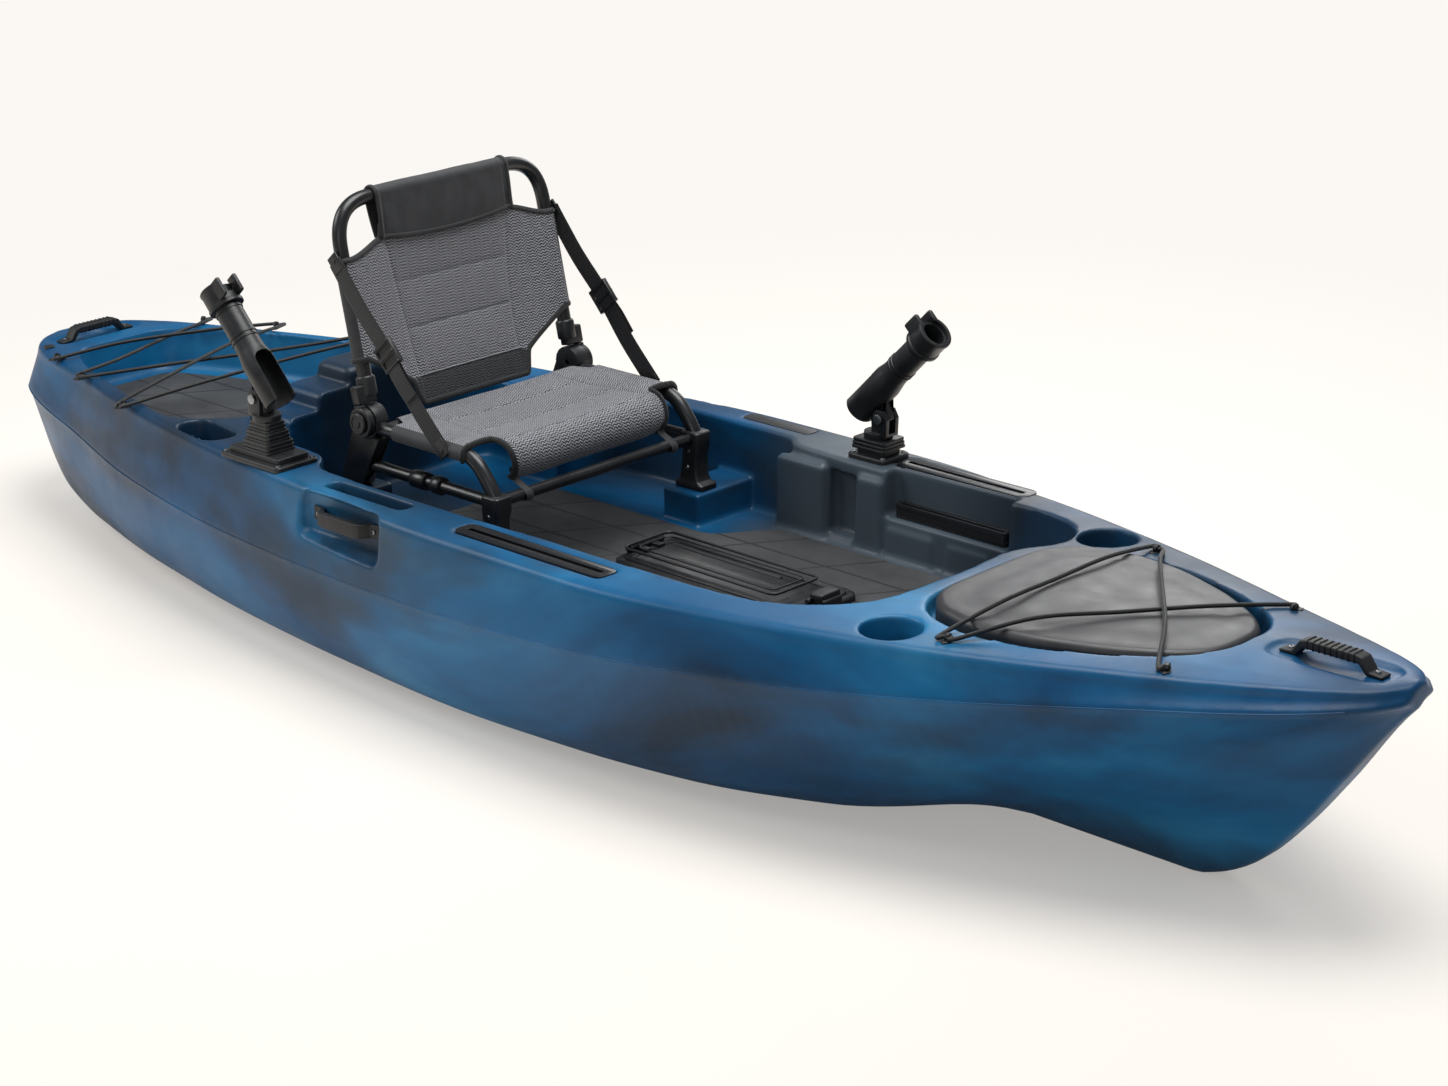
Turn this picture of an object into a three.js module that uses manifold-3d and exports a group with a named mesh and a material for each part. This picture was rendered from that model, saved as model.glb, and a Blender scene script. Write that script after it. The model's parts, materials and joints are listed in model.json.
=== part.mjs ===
// Sit-on-top fishing kayak: a hollow moulded hull with a framed folding seat,
// two rod holders, gear tracks, two hatches, a tank well and elastic deck cords.
// Millimetres. +X points to the bow, +Y to port and +Z up. The origin is under
// the middle of the hull, on the plane that the keel and the runners rest on.
import * as THREE from 'three';
import { mergeVertices } from 'three/addons/utils/BufferGeometryUtils.js';
import Module from 'manifold-3d';

const wasm = await Module();
wasm.setup();
const { Manifold, Mesh: SolidMesh } = wasm;

// Driving dimensions of the hull
const LENGTH = 3100;
const BEAM = 874;
const HULL_HEIGHT = 384;
const HALF_LENGTH = LENGTH / 2;
const HALF_BEAM = BEAM / 2;
const WALL = 7;
const KEEL_HALF_WIDTH = 22;
const KEEL_DEPTH = 8;
const DECK_ROUND = 18;
const SEAM_PROUD = 2.5;
const DECK_CAMBER = 12;

// Clearances
const GAP = 0.3;
const OVERRUN = 12;
const MOUTH_OVERRUN = 120;
const MERGE_DISTANCE = 0.0001;

// Cockpit, tank well and the seat step between them
const COCKPIT_FLOOR = 192;
const COCKPIT_DRAFT = 8;
const COCKPIT_FILLET = 12;
const TANK_FLOOR = 235;
const TANK_DRAFT = 14;
const TANK_FILLET = 24;
const WELL_CORNER = 42;
const STEP_DRAFT = 9;
const STEP_CORNER = 22;
const STEP_X = -648;
const STEP_RISE = 30;
const STEP_LENGTH = 150;
const STEP_WIDTH = 430;
const STEP_NARROWING = 140;
const STEP_COUNT = 3;
const STEP_START = 20;
const MAT_THICKNESS = 4;
const MAT_MARGIN = 14;
const MAT_CORNER = 26;
const SCUPPER_RADIUS = 13;
const CUP_SIDES = 20;
const ROD_SIDES = 16;
const HINGE_KNUCKLES = 5;

// Pockets in the gunwales and in the cockpit wall
const OVAL_POCKET = { length: 138, width: 68, depth: 58, x: -730, y: 326 };
const LONG_POCKET = { length: 196, width: 36, depth: 44, x: -226, y: 346, corner: 12 };
const WALL_POCKET = { length: 62, height: 112, depth: 17, x: 240, sill: 14, corner: 8 };
const RAIL_NICHE = { length: 262, depth: 27, x: 467, ledge: 262 };
const CUP = { radius: 47.5, depth: 72, x: 830, y: 258 };
const PLATE_POCKET = { length: 158, width: 32, x: 22, y: 384, depth: 3 };

// Mats and hatches
const CENTRE_HATCH = {
  x: 238, y: 34, length: 424, width: 158, corner: 30, rimHeight: 15, rimFrame: 14,
  lidHeight: 9, lidLift: 3, openingLength: 330, openingWidth: 96, hingeRadius: 4,
  hingeKnuckle: 8, latchWidth: 44, latchHeight: 13, latchThickness: 7, latchRadius: 4,
};
const BOW_HATCH = {
  recessDepth: 27, sealHeight: 4, sealWidth: 9, moatWidth: 13, landWidth: 30,
  coverCrown: 9, coverProud: 15, coverEdge: 14, coverCorner: 34,
};

// Handles
const HANDLE = { length: 168, width: 24, rise: 27, strap: 6, foot: 27, grip: 13, pocket: 5, margin: 9 };
const BOW_HANDLE_INSET = 138;
const STERN_HANDLE_INSET = 82;
const BOW_HANDLE_X = HALF_LENGTH - BOW_HANDLE_INSET;
const STERN_HANDLE_X = STERN_HANDLE_INSET - HALF_LENGTH;
const SIDE_HANDLE_X = -242;
const SIDE_POCKET = { length: 214, height: 72, depth: 22, corner: 24, centre: 297 };
const DRAIN_PLUG = { radius: 11, height: 5, inset: 110, y: 128 };

// Gear tracks
const TRACK = { width: 44, height: 12, slot: 9, lip: 3, chamber: 24, end: 16, pocket: 11 };
const STARBOARD_TRACK = { x: 180, y: 355, length: 336 };
const PORT_TRACK = { x: 458, y: 364, length: 278 };
const WALL_TRACK = { length: 236, width: 21, height: 24, slot: 8, lip: 4, chamber: 14 };

// Pad eyes and elastic cords
const PAD_EYE = { length: 34, width: 13, plate: 3, boss: 6.7, hole: 4.1, thick: 6, pocket: 1 };
const CORD_RADIUS = 2.7;
const CORD_SIDES = 5;
const CORD_STEPS = 2;

// Seat frame, feet and back
const SEAT = {
  railHalf: 234, railRadius: 12.5, railHeight: 408, pivotX: -344, pivotLift: 10,
  bendX: -88, footX: -42, footDrop: 56, rearX: -392, rearBarX: -310,
  lowerDrop: 14, footLength: 54, footWidth: 40, socketDepth: 26,
  hubRadius: 29, hubThickness: 26, knuckleRadius: 26, knuckleBreadth: 14, boltRadius: 5, boltHead: 9,
  backHalf: 232, backHeight: 360, backLean: 76, backCorner: 78, backStart: 44,
  clothThickness: 3, clothStart: 78, clothTop: 84, headHeight: 66, crown: 6,
};
SEAT.pivotZ = SEAT.railHeight + SEAT.pivotLift;
SEAT.footTop = SEAT.railHeight - SEAT.footDrop;
SEAT.lowerHeight = SEAT.footTop - SEAT.lowerDrop;
const PEDESTAL_CLEARANCE = 42;
const frontPedestalShare = 0.2685;
const REAR_PEDESTAL = { length: 92, top: SEAT.lowerHeight - PEDESTAL_CLEARANCE, inner: 192 };
const FRONT_PEDESTAL = {
  length: 84, top: COCKPIT_FLOOR + (SEAT.railHeight - COCKPIT_FLOOR) * frontPedestalShare, inner: 196,
};
const STRAP = { width: 25, thickness: 2.4, x: -150, rise: 274, offset: 3 };
const BUCKLE = { length: 46, width: 34, thickness: 9 };

// Rod holders
const ROD = {
  baseHeight: 9, baseCorner: 12, plinthInset: 12, plinthHeight: 10, riserLength: 72,
  riserWidth: 62, riserTier: 17, tierShrink: 9, turret: 25, turretHeight: 11,
  ear: 9, earGap: 15, earRadius: 17, pivotRise: 26, bolt: 4.5,
  boltHead: 9, tubeRadius: 24, tubeWall: 4, tubeBack: 36, tubeAhead: 190, tubeOffset: 42, pivotAhead: 14,
  slotWidth: 25, slotLength: 96, collarRadius: 30, collarLength: 38, collarSlot: 27,
};
const STARBOARD_ROD = { x: -510, y: 327, tiers: 3, tilt: 47, turn: 180, baseLength: 158, baseWidth: 92 };
const PORT_ROD = { x: 274, y: 356, tiers: 1, tilt: 45, turn: 0, baseLength: 84, baseWidth: 72 };

// Heights, breadths and forms along the hull, as shares of its half length,
// half beam and height: station first, value second
const deckHalfShares = [
  [-1, 0.09], [-0.985, 0.2], [-0.96, 0.28], [-0.9, 0.375], [-0.8, 0.475], [-0.6, 0.677],
  [-0.4, 0.812], [-0.2, 0.902], [0, 0.959], [0.2, 0.954], [0.4, 0.858], [0.6, 0.684],
  [0.8, 0.43], [0.9, 0.285], [0.95, 0.2], [0.98, 0.13], [1, 0.04],
];
const deckHeightShares = [
  [-1, 0.807], [-0.8, 0.843], [-0.6, 0.864], [-0.4, 0.877], [-0.2, 0.883], [0, 0.888],
  [0.2, 0.89], [0.4, 0.901], [0.6, 0.919], [0.8, 0.945], [1, 0.985],
];
const seamHalfShares = [
  [-1, 0.14], [-0.985, 0.26], [-0.96, 0.345], [-0.9, 0.435], [-0.8, 0.53], [-0.6, 0.737],
  [-0.4, 0.872], [-0.2, 0.945], [0, 0.988], [0.1, 0.994], [0.2, 0.988], [0.4, 0.908],
  [0.6, 0.737], [0.8, 0.485], [0.9, 0.335], [0.95, 0.245], [0.98, 0.17], [1, 0.08],
];
const seamHeightShares = [
  [-1, 0.615], [-0.8, 0.561], [-0.6, 0.535], [-0.4, 0.53], [-0.2, 0.538], [0, 0.564],
  [0.2, 0.606], [0.4, 0.666], [0.6, 0.742], [0.8, 0.833], [0.9, 0.875], [1, 0.935],
];
const keelHeightShares = [
  [-1, 0.56], [-0.987, 0.45], [-0.961, 0.27], [-0.929, 0.1], [-0.87, 0], [0, 0], [0.78, 0],
  [0.805, 0.026], [0.843, 0.107], [0.885, 0.282], [0.934, 0.543], [0.981, 0.812], [1, 0.9],
];
const chineHalfShares = [
  [-1, 0.1], [-0.969, 0.24], [-0.923, 0.31], [-0.874, 0.375], [-0.78, 0.49], [-0.6, 0.69],
  [-0.4, 0.835], [-0.2, 0.915], [0, 0.955], [0.16, 0.915], [0.32, 0.81], [0.45, 0.65],
  [0.61, 0.458], [0.74, 0.366], [0.87, 0.25], [0.968, 0.114], [1, 0.045],
];
const chineHeightShares = [
  [-1, 0.59], [-0.985, 0.49], [-0.969, 0.36], [-0.923, 0.17], [-0.874, 0.07], [-0.78, 0.025],
  [-0.6, 0.021], [0.3, 0.021], [0.45, 0.06], [0.61, 0.26], [0.74, 0.49], [0.87, 0.7],
  [0.968, 0.86], [1, 0.92],
];
const bilgeRoundShares = [
  [-1, 0.03], [-0.9, 0.14], [-0.8, 0.2], [-0.5, 0.29], [0, 0.3], [0.32, 0.27], [0.45, 0.2],
  [0.61, 0.1], [0.74, 0.06], [0.87, 0.04], [1, 0.01],
];
const runnerShares = [[-1, 0], [-0.56, 0], [-0.42, 1], [0.3, 1], [0.42, 0], [1, 0]];
const camberShares = [[-1, 0], [0.4, 0], [0.6, 0.6], [0.8, 1], [1, 0.3]];
const stationShares = [
  -1, -0.991, -0.975, -0.952, -0.92, -0.88, -0.83, -0.765, -0.69, -0.6, -0.49, -0.36,
  -0.21, -0.05, 0.1, 0.23, 0.35, 0.46, 0.56, 0.65, 0.725, 0.785, 0.83, 0.868, 0.9, 0.928,
  0.952, 0.972, 0.987, 1,
];
const innerStationShares = [
  -0.972, -0.93, -0.87, -0.78, -0.66, -0.5, -0.32, -0.1, 0.12, 0.32, 0.48, 0.6, 0.7, 0.78,
  0.84, 0.89, 0.93,
];

// Outlines seen from above, as shares of the half length and the half beam
const cockpitShares = [
  [-0.387, -0.44], [-0.378, -0.56], [-0.29, -0.58], [-0.265, -0.7], [-0.2, -0.715],
  [0, -0.715], [0.1, -0.697], [0.323, -0.697],
  [0.4, -0.664], [0.446, -0.552], [0.481, -0.39], [0.487, 0], [0.481, 0.28], [0.51, 0.435],
  [0.505, 0.56], [0.476, 0.655], [0.43, 0.697], [0.2, 0.697], [0.15, 0.697], [0.075, 0.715],
  [0.058, 0.78], [-0.13, 0.79], [-0.255, 0.76], [-0.29, 0.58], [-0.378, 0.56], [-0.387, 0.44],
];
const tankShares = [
  [-0.895, -0.19], [-0.878, -0.27], [-0.82, -0.375], [-0.766, -0.45], [-0.67, -0.545],
  [-0.6, -0.618], [-0.551, -0.655], [-0.51, -0.58], [-0.478, -0.47], [-0.462, -0.3],
  [-0.462, 0.3], [-0.478, 0.47], [-0.51, 0.58], [-0.551, 0.655], [-0.6, 0.618],
  [-0.67, 0.545], [-0.766, 0.45], [-0.82, 0.375], [-0.878, 0.27], [-0.895, 0.19],
];
const bowHatchShares = [
  [0.507, -0.2], [0.512, -0.31], [0.54, -0.43], [0.6, -0.49], [0.665, -0.465], [0.74, -0.365],
  [0.795, -0.245], [0.822, -0.12], [0.822, 0.12], [0.795, 0.245], [0.74, 0.365],
  [0.665, 0.465], [0.6, 0.49], [0.54, 0.43], [0.512, 0.31], [0.507, 0.2],
];
const cockpitMatShares = [
  [-0.245, -0.4], [0.03, -0.4], [0.075, -0.62], [0.36, -0.62], [0.42, -0.44], [0.455, -0.34],
  [0.455, 0.28], [0.42, 0.44], [0.37, 0.63], [0.075, 0.63], [0.03, 0.4], [-0.245, 0.4],
];
const scupperShares = [
  [-0.33, -0.36], [-0.33, 0.36], [0.035, 0.6], [0.035, -0.6],
  [-0.5, -0.3], [-0.5, 0.3],
];
const bowEyeShares = [[0.6, -0.572, 0.14], [0.6, 0.572, -0.14], [0.802, -0.355, 0.33], [0.802, 0.355, -0.33]];
const sternEyeShares = [
  [-0.868, -0.4, -0.42], [-0.868, 0.4, 0.42], [-0.765, -0.53, -0.32], [-0.765, 0.53, 0.32],
  [-0.62, -0.69, -0.24], [-0.62, 0.69, 0.24],
];

// Finishes
const finish = (color, roughness, metalness = 0) =>
  new THREE.MeshStandardMaterial({ color, roughness, metalness });
const HULL_BLUE = finish(0x17507f, 0.42);
const MAT_GREY = finish(0x3a3d40, 0.9);
const PLASTIC_BLACK = finish(0x17181a, 0.45);
const TUBE_BLACK = finish(0x1b1c1e, 0.35, 0.4);
const COVER_GREY = finish(0x3b3c3e, 0.6);
const MESH_GREY = finish(0x4a4c51, 0.95);
const WEB_BLACK = finish(0x1a1a1c, 0.85);
const CORD_BLACK = finish(0x141416, 0.7);
const STEEL = finish(0x8d9094, 0.3, 1);

const kayak = new THREE.Group();

// Turns a closed three.js geometry into a solid that can be cut and joined
function solidOf(geometry) {
  const bare = geometry.clone();
  bare.deleteAttribute('normal');
  bare.deleteAttribute('uv');
  const merged = mergeVertices(bare, MERGE_DISTANCE);
  return new Manifold(new SolidMesh({
    numProp: 3,
    vertProperties: new Float32Array(merged.attributes.position.array),
    triVerts: new Uint32Array(merged.index.array),
  }));
}

function geometryOf(solid) {
  const mesh = solid.getMesh();
  const geometry = new THREE.BufferGeometry();
  geometry.setAttribute('position', new THREE.BufferAttribute(mesh.vertProperties, 3));
  geometry.setIndex(new THREE.BufferAttribute(mesh.triVerts, 1));
  geometry.computeVertexNormals();
  return geometry;
}

// Adds one named piece; shape is a three.js geometry or a solid
function addPiece(parent, name, shape, material) {
  const geometry = shape.isBufferGeometry ? shape : geometryOf(shape);
  const mesh = new THREE.Mesh(geometry, material);
  mesh.name = name;
  parent.add(mesh);
  return mesh;
}

const joined = (solids) => solids.reduce((sum, next) => sum.add(next));
const moved = (geometry, x, y, z) => geometry.clone().translate(x, y, z);
const boxAt = (length, width, height, x, y, z) =>
  new THREE.BoxGeometry(length, width, height).translate(x, y, z);

// A cylinder whose axis runs along x, y or z
function rod(radius, length, axis, sides) {
  const geometry = new THREE.CylinderGeometry(radius, radius, length, sides);
  if (axis === 'x') geometry.rotateZ(Math.PI / 2);
  if (axis === 'z') geometry.rotateX(Math.PI / 2);
  return geometry;
}

// Outlines seen from above: sharp points with a rounding for their corners
function rectangle(length, width, corner, steps = 4) {
  const points = [[1, 1], [-1, 1], [-1, -1], [1, -1]]
    .map(([i, j]) => new THREE.Vector2(i * length / 2, j * width / 2));
  return { points, corner, steps };
}

function circle(radius, count) {
  const points = Array.from({ length: count }, (_, i) => {
    const angle = i / count * Math.PI * 2;
    return new THREE.Vector2(radius * Math.cos(angle), radius * Math.sin(angle));
  });
  return { points, corner: 0, steps: 0 };
}

function fromShares(shares, corner = 0, steps = 0) {
  const points = shares.map(([x, y]) => new THREE.Vector2(x * HALF_LENGTH, y * HALF_BEAM));
  return { points, corner, steps };
}

const placed = (shape, x, y) =>
  ({ ...shape, points: shape.points.map((point) => new THREE.Vector2(point.x + x, point.y + y)) });

// The points of an outline moved outwards by grow, with its corners rounded
function outlineOf(shape, grow = 0) {
  const sharp = offsetOutline(shape.points, grow);
  return shape.corner > 0 ? roundCorners(sharp, shape.corner, shape.steps) : sharp;
}

// Rounds each corner of a closed outline with a quadratic curve, and leaves out
// a point that the outline runs straight through
const straightShare = 0.01;
function roundCorners(points, radius, steps = 4) {
  const result = [];
  points.forEach((corner, i) => {
    const before = points[(i + points.length - 1) % points.length];
    const after = points[(i + 1) % points.length];
    const back = before.clone().sub(corner);
    const ahead = after.clone().sub(corner);
    const straight = Math.abs(back.clone().normalize().cross(ahead.clone().normalize())) < straightShare;
    if (straight) return;
    const reach = Math.min(radius, back.length() * 0.49, ahead.length() * 0.49);
    const start = corner.clone().add(back.setLength(reach));
    const end = corner.clone().add(ahead.setLength(reach));
    result.push(...new THREE.QuadraticBezierCurve(start, corner, end).getPoints(steps));
  });
  return result;
}

// Moves every side of a closed anticlockwise outline outwards by distance
function offsetOutline(points, distance) {
  return points.map((point, i) => {
    const before = points[(i + points.length - 1) % points.length];
    const after = points[(i + 1) % points.length];
    const inward = point.clone().sub(before).normalize();
    const outward = after.clone().sub(point).normalize();
    const normal = new THREE.Vector2(inward.y + outward.y, -inward.x - outward.x).normalize();
    const spread = Math.max(0.4, Math.sqrt((1 + inward.dot(outward)) / 2));
    return point.clone().addScaledVector(normal, distance / spread);
  });
}

// A closed skin over a stack of rings that hold equally many points. A fanned
// end gets one more point at its middle
function loft(rings, fanned = false) {
  const size = rings[0].length;
  const positions = rings.flat().flatMap((point) => [point.x, point.y, point.z]);
  const faces = [];
  for (let r = 0; r + 1 < rings.length; r += 1) {
    for (let i = 0; i < size; i += 1) {
      const a = r * size + i;
      const b = r * size + (i + 1) % size;
      faces.push(a, b, b + size, a, b + size, a + size);
    }
  }
  const capOf = (ring) => {
    const flat = ring.map((point) => new THREE.Vector2(point.u, point.v));
    if (!fanned) return THREE.ShapeUtils.triangulateShape(flat, []);
    const middle = positions.length / 3 - (ring === rings[0] ? 0 : (rings.length - 1) * size);
    const sum = ring.reduce(
      (total, point) => [total[0] + point.x, total[1] + point.y, total[2] + point.z],
      [0, 0, 0],
    );
    positions.push(...sum.map((value) => value / size));
    return ring.map((_, i) => [middle, i, (i + 1) % size]);
  };
  const top = (rings.length - 1) * size;
  capOf(rings[0]).forEach(([a, b, c]) => faces.push(c, b, a));
  capOf(rings[rings.length - 1]).forEach(([a, b, c]) => faces.push(top + a, top + b, top + c));
  const geometry = new THREE.BufferGeometry();
  geometry.setAttribute('position', new THREE.Float32BufferAttribute(positions, 3));
  geometry.setIndex(faces);
  return geometry;
}

// Level rings: the outline lies in a plane of constant z
const levelRing = (outline, z) =>
  outline.map(({ x, y }) => ({ x, y, z, u: x, v: y }));
const prism = (shape, low, high, grow = 0) =>
  loft([levelRing(outlineOf(shape, grow), low), levelRing(outlineOf(shape, grow), high)]);

// A plate with a small chamfer round its upper edge
function plate(shape, low, high, chamfer) {
  return loft([
    levelRing(outlineOf(shape), low),
    levelRing(outlineOf(shape), high - chamfer),
    levelRing(outlineOf(shape, -chamfer), high),
  ]);
}

// A smooth curve through the rows of a table, with no overshoot
function smoothThrough(rows) {
  const slope = (i) => (rows[i + 1][1] - rows[i][1]) / (rows[i + 1][0] - rows[i][0]);
  const tangents = rows.map((_, i) => {
    if (i === 0) return slope(0);
    if (i === rows.length - 1) return slope(i - 1);
    const before = slope(i - 1);
    const after = slope(i);
    return before * after <= 0 ? 0 : 2 * before * after / (before + after);
  });
  return (s) => {
    const last = rows.length - 2;
    const found = rows.findIndex((row, i) => i <= last && s <= rows[i + 1][0]);
    const i = found < 0 ? last : found;
    const span = rows[i + 1][0] - rows[i][0];
    const t = Math.min(1, Math.max(0, (s - rows[i][0]) / span));
    const rise = rows[i + 1][1] - rows[i][1];
    const first = span * tangents[i];
    const second = span * tangents[i + 1];
    return rows[i][1] + t * (first + t * (3 * rise - 2 * first - second + t * (first + second - 2 * rise)));
  };
}

const deckHalfAt = smoothThrough(deckHalfShares);
const deckHeightAt = smoothThrough(deckHeightShares);
const seamHalfAt = smoothThrough(seamHalfShares);
const seamHeightAt = smoothThrough(seamHeightShares);
const keelHeightAt = smoothThrough(keelHeightShares);
const chineHalfAt = smoothThrough(chineHalfShares);
const chineHeightAt = smoothThrough(chineHeightShares);
const bilgeRoundAt = smoothThrough(bilgeRoundShares);
const runnerAt = smoothThrough(runnerShares);
const camberAt = smoothThrough(camberShares);

// The main places of one cross-section, in millimetres
function sectionSizes(s) {
  const deckZ = deckHeightAt(s) * HULL_HEIGHT;
  const seamZ = seamHeightAt(s) * HULL_HEIGHT;
  const keelZ = keelHeightAt(s) * HULL_HEIGHT;
  const chine = new THREE.Vector2(chineHalfAt(s) * HALF_BEAM, chineHeightAt(s) * HULL_HEIGHT);
  return {
    deckZ, seamZ, keelZ, chine,
    deckHalf: deckHalfAt(s) * HALF_BEAM,
    seam: new THREE.Vector2(seamHalfAt(s) * HALF_BEAM, seamZ),
    round: Math.min(DECK_ROUND, (deckZ - seamZ) * 0.4, deckHalfAt(s) * HALF_BEAM * 0.4),
    camber: camberAt(s) * DECK_CAMBER,
    bilge: bilgeRoundAt(s) * HALF_BEAM,
  };
}

// Height of the deck's outer surface
function deckTop(x, y) {
  const size = sectionSizes(x / HALF_LENGTH);
  const across = Math.min(1, Math.abs(y) / (size.deckHalf - size.round));
  return size.deckZ + size.camber * (1 - across * across);
}

// How far the bilge's round reaches from the chine towards another point, at most
const bilgeReachShares = { foot: 0.42, seam: 0.8, plain: 0.5 };
const fromChine = (size, target, most) =>
  size.chine.clone().lerp(target, Math.min(most, size.bilge / size.chine.distanceTo(target)));

// Half of the outer section, from the keel's middle to the deck's middle
const runnerPlaceShares = [[0.39, 0], [0.43, 1], [0.52, 1], [0.56, 0]];
function outerHalf(s) {
  const size = sectionSizes(s);
  const keelHalf = Math.min(KEEL_HALF_WIDTH, size.chine.x * 0.3);
  const keelRise = Math.min(KEEL_DEPTH, Math.max(0, size.chine.y - size.keelZ) * 0.5);
  const foot = new THREE.Vector2(keelHalf * 1.4, size.keelZ + keelRise);
  const points = [new THREE.Vector2(0, size.keelZ), new THREE.Vector2(keelHalf, size.keelZ), foot];
  runnerPlaceShares.forEach(([place, down]) => {
    const point = foot.clone().lerp(size.chine, place);
    point.y -= down * runnerAt(s) * keelRise;
    points.push(point);
  });
  const inner = fromChine(size, foot, bilgeReachShares.foot);
  const outer = fromChine(size, size.seam, bilgeReachShares.seam);
  points.push(...new THREE.QuadraticBezierCurve(inner, size.chine, outer).getPoints(3));
  const proud = Math.min(SEAM_PROUD, size.round * 0.3);
  points.push(new THREE.Vector2(size.seam.x - proud, size.seam.y - proud * 2));
  points.push(size.seam);
  const edge = new THREE.Vector2(size.deckHalf, size.deckZ - size.round);
  points.push(size.seam.clone().lerp(edge, 0.5).add(new THREE.Vector2(proud, 0)));
  const rim = new THREE.Vector2(size.deckHalf - size.round, size.deckZ);
  const corner = new THREE.Vector2(size.deckHalf, size.deckZ);
  points.push(...new THREE.QuadraticBezierCurve(edge, corner, rim).getPoints(2));
  [0.55, 0].forEach((share) => {
    points.push(new THREE.Vector2(rim.x * share, size.deckZ + size.camber * (1 - share * share)));
  });
  return points;
}

// Half of the plainer inner section, before it is drawn in by the wall
function innerHalf(s) {
  const size = sectionSizes(s);
  const floor = Math.max(size.keelZ, Math.min(size.chine.y, size.keelZ + KEEL_DEPTH));
  const plainReach = Math.min(bilgeReachShares.plain, size.bilge / size.chine.x);
  const inner = size.chine.clone().lerp(new THREE.Vector2(0, floor), plainReach);
  const outer = fromChine(size, size.seam, bilgeReachShares.seam);
  return [
    new THREE.Vector2(0, floor),
    ...new THREE.QuadraticBezierCurve(inner, size.chine, outer).getPoints(2),
    size.seam,
    new THREE.Vector2(size.deckHalf - size.round * 0.4, size.deckZ - size.round * 0.4),
    new THREE.Vector2(0, size.deckZ),
  ];
}

// Closes a half section into a full ring in the plane x = s times the half length
function stationRing(s, half, inset) {
  const mirror = half.slice(1, -1).reverse().map((point) => new THREE.Vector2(-point.x, point.y));
  const whole = offsetOutline([...half, ...mirror], -inset);
  return whole.map((point) => ({ x: s * HALF_LENGTH, y: point.x, z: point.y, u: point.x, v: point.y }));
}

// A hollow sunk from above, with drawn-in walls and a rounded foot.
// grow moves every wall outwards, for the inner side of the hull's skin
function well(shape, floorZ, rimZ, draft, fillet, grow) {
  const plan = grow > 0 ? { ...shape, steps: 1 } : shape;
  const mouth = outlineOf(plan, grow);
  const rings = [levelRing(mouth, rimZ + MOUTH_OVERRUN), levelRing(mouth, rimZ)];
  const turns = grow > 0 ? [] : [0, 0.5, 1];
  turns.forEach((turn) => {
    const angle = turn * Math.PI / 2;
    const inset = draft + fillet * (1 - Math.cos(angle));
    rings.push(levelRing(outlineOf(plan, -inset), floorZ + fillet * (1 - Math.sin(angle))));
  });
  if (grow > 0) rings.push(levelRing(outlineOf(plan, grow - draft), floorZ - grow));
  return solidOf(loft(rings.reverse()));
}

const cockpitShape = fromShares(cockpitShares, WELL_CORNER, 2);
const tankShape = fromShares(tankShares, WELL_CORNER, 1);
const bowShape = fromShares(bowHatchShares, BOW_HATCH.coverCorner, 1);
const bowDeck = deckTop(bowShape.points[0].x, 0);
const bowLand = bowDeck - BOW_HATCH.recessDepth;
const deckMiddle = deckTop(0, 0);
const sides = [['starboard', -1], ['port', 1]];

// The lowest deck height under a fitting, where its pocket is cut flat
function pocketFloor(x, y, halfLength, halfWidth, depth) {
  const corners = [[-1, -1], [-1, 1], [1, -1], [1, 1]]
    .map(([i, j]) => deckTop(x + i * halfLength, y + j * halfWidth));
  return Math.min(...corners) - depth;
}

// The port cockpit wall's upright pocket, and the open niche that holds its rail
const foreWall = cockpitShape.points.filter((point) => point.x > WALL_POCKET.x);
const portWallY = Math.max(...foreWall.map((point) => point.y));
const wallPocket = (grow) => {
  const { length, depth, height, sill, corner, x } = WALL_POCKET;
  const shape = placed(rectangle(length, depth * 2, corner, 1), x, portWallY);
  const low = COCKPIT_FLOOR + sill;
  return solidOf(prism(shape, low - grow, low + height + grow, grow));
};
const railNiche = (grow) => {
  const { length, depth, ledge, x } = RAIL_NICHE;
  const shape = placed(rectangle(length, depth * 2, WALL_POCKET.corner, 1), x, portWallY);
  return solidOf(prism(shape, ledge - grow, ledge + HULL_HEIGHT, grow));
};

// Every hollow of the outer skin that the inner skin follows at a wall's distance
function hollows(grow) {
  const cup = ([, side]) => well(
    placed(circle(CUP.radius, grow > 0 ? CUP_SIDES / 2 : CUP_SIDES), CUP.x, side * CUP.y),
    deckTop(CUP.x, CUP.y) - CUP.depth, deckTop(CUP.x, CUP.y), WALL / 2, WALL, grow);
  const oval = ([, side]) => well(
    placed(rectangle(OVAL_POCKET.length, OVAL_POCKET.width, OVAL_POCKET.width / 2, 3), OVAL_POCKET.x,
      side * OVAL_POCKET.y),
    deckTop(OVAL_POCKET.x, OVAL_POCKET.y) - OVAL_POCKET.depth, deckTop(OVAL_POCKET.x, 0), WALL, WALL, grow);
  const long = placed(
    rectangle(LONG_POCKET.length, LONG_POCKET.width, LONG_POCKET.corner, 2), LONG_POCKET.x, -LONG_POCKET.y);
  const longDeck = deckTop(LONG_POCKET.x, LONG_POCKET.y);
  const parts = [
    wallPocket(grow), railNiche(grow),
    well(cockpitShape, COCKPIT_FLOOR, deckMiddle, COCKPIT_DRAFT, COCKPIT_FILLET, grow),
    well(tankShape, TANK_FLOOR, deckTop(tankShape.points[0].x, 0), TANK_DRAFT, TANK_FILLET, grow),
    well(bowShape, bowLand, bowDeck, WALL / 2, WALL / 2, grow),
    well(long, longDeck - LONG_POCKET.depth, longDeck, WALL / 2, WALL / 2, grow),
    ...sides.map(cup), ...sides.map(oval),
  ];
  return joined(parts);
}

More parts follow.
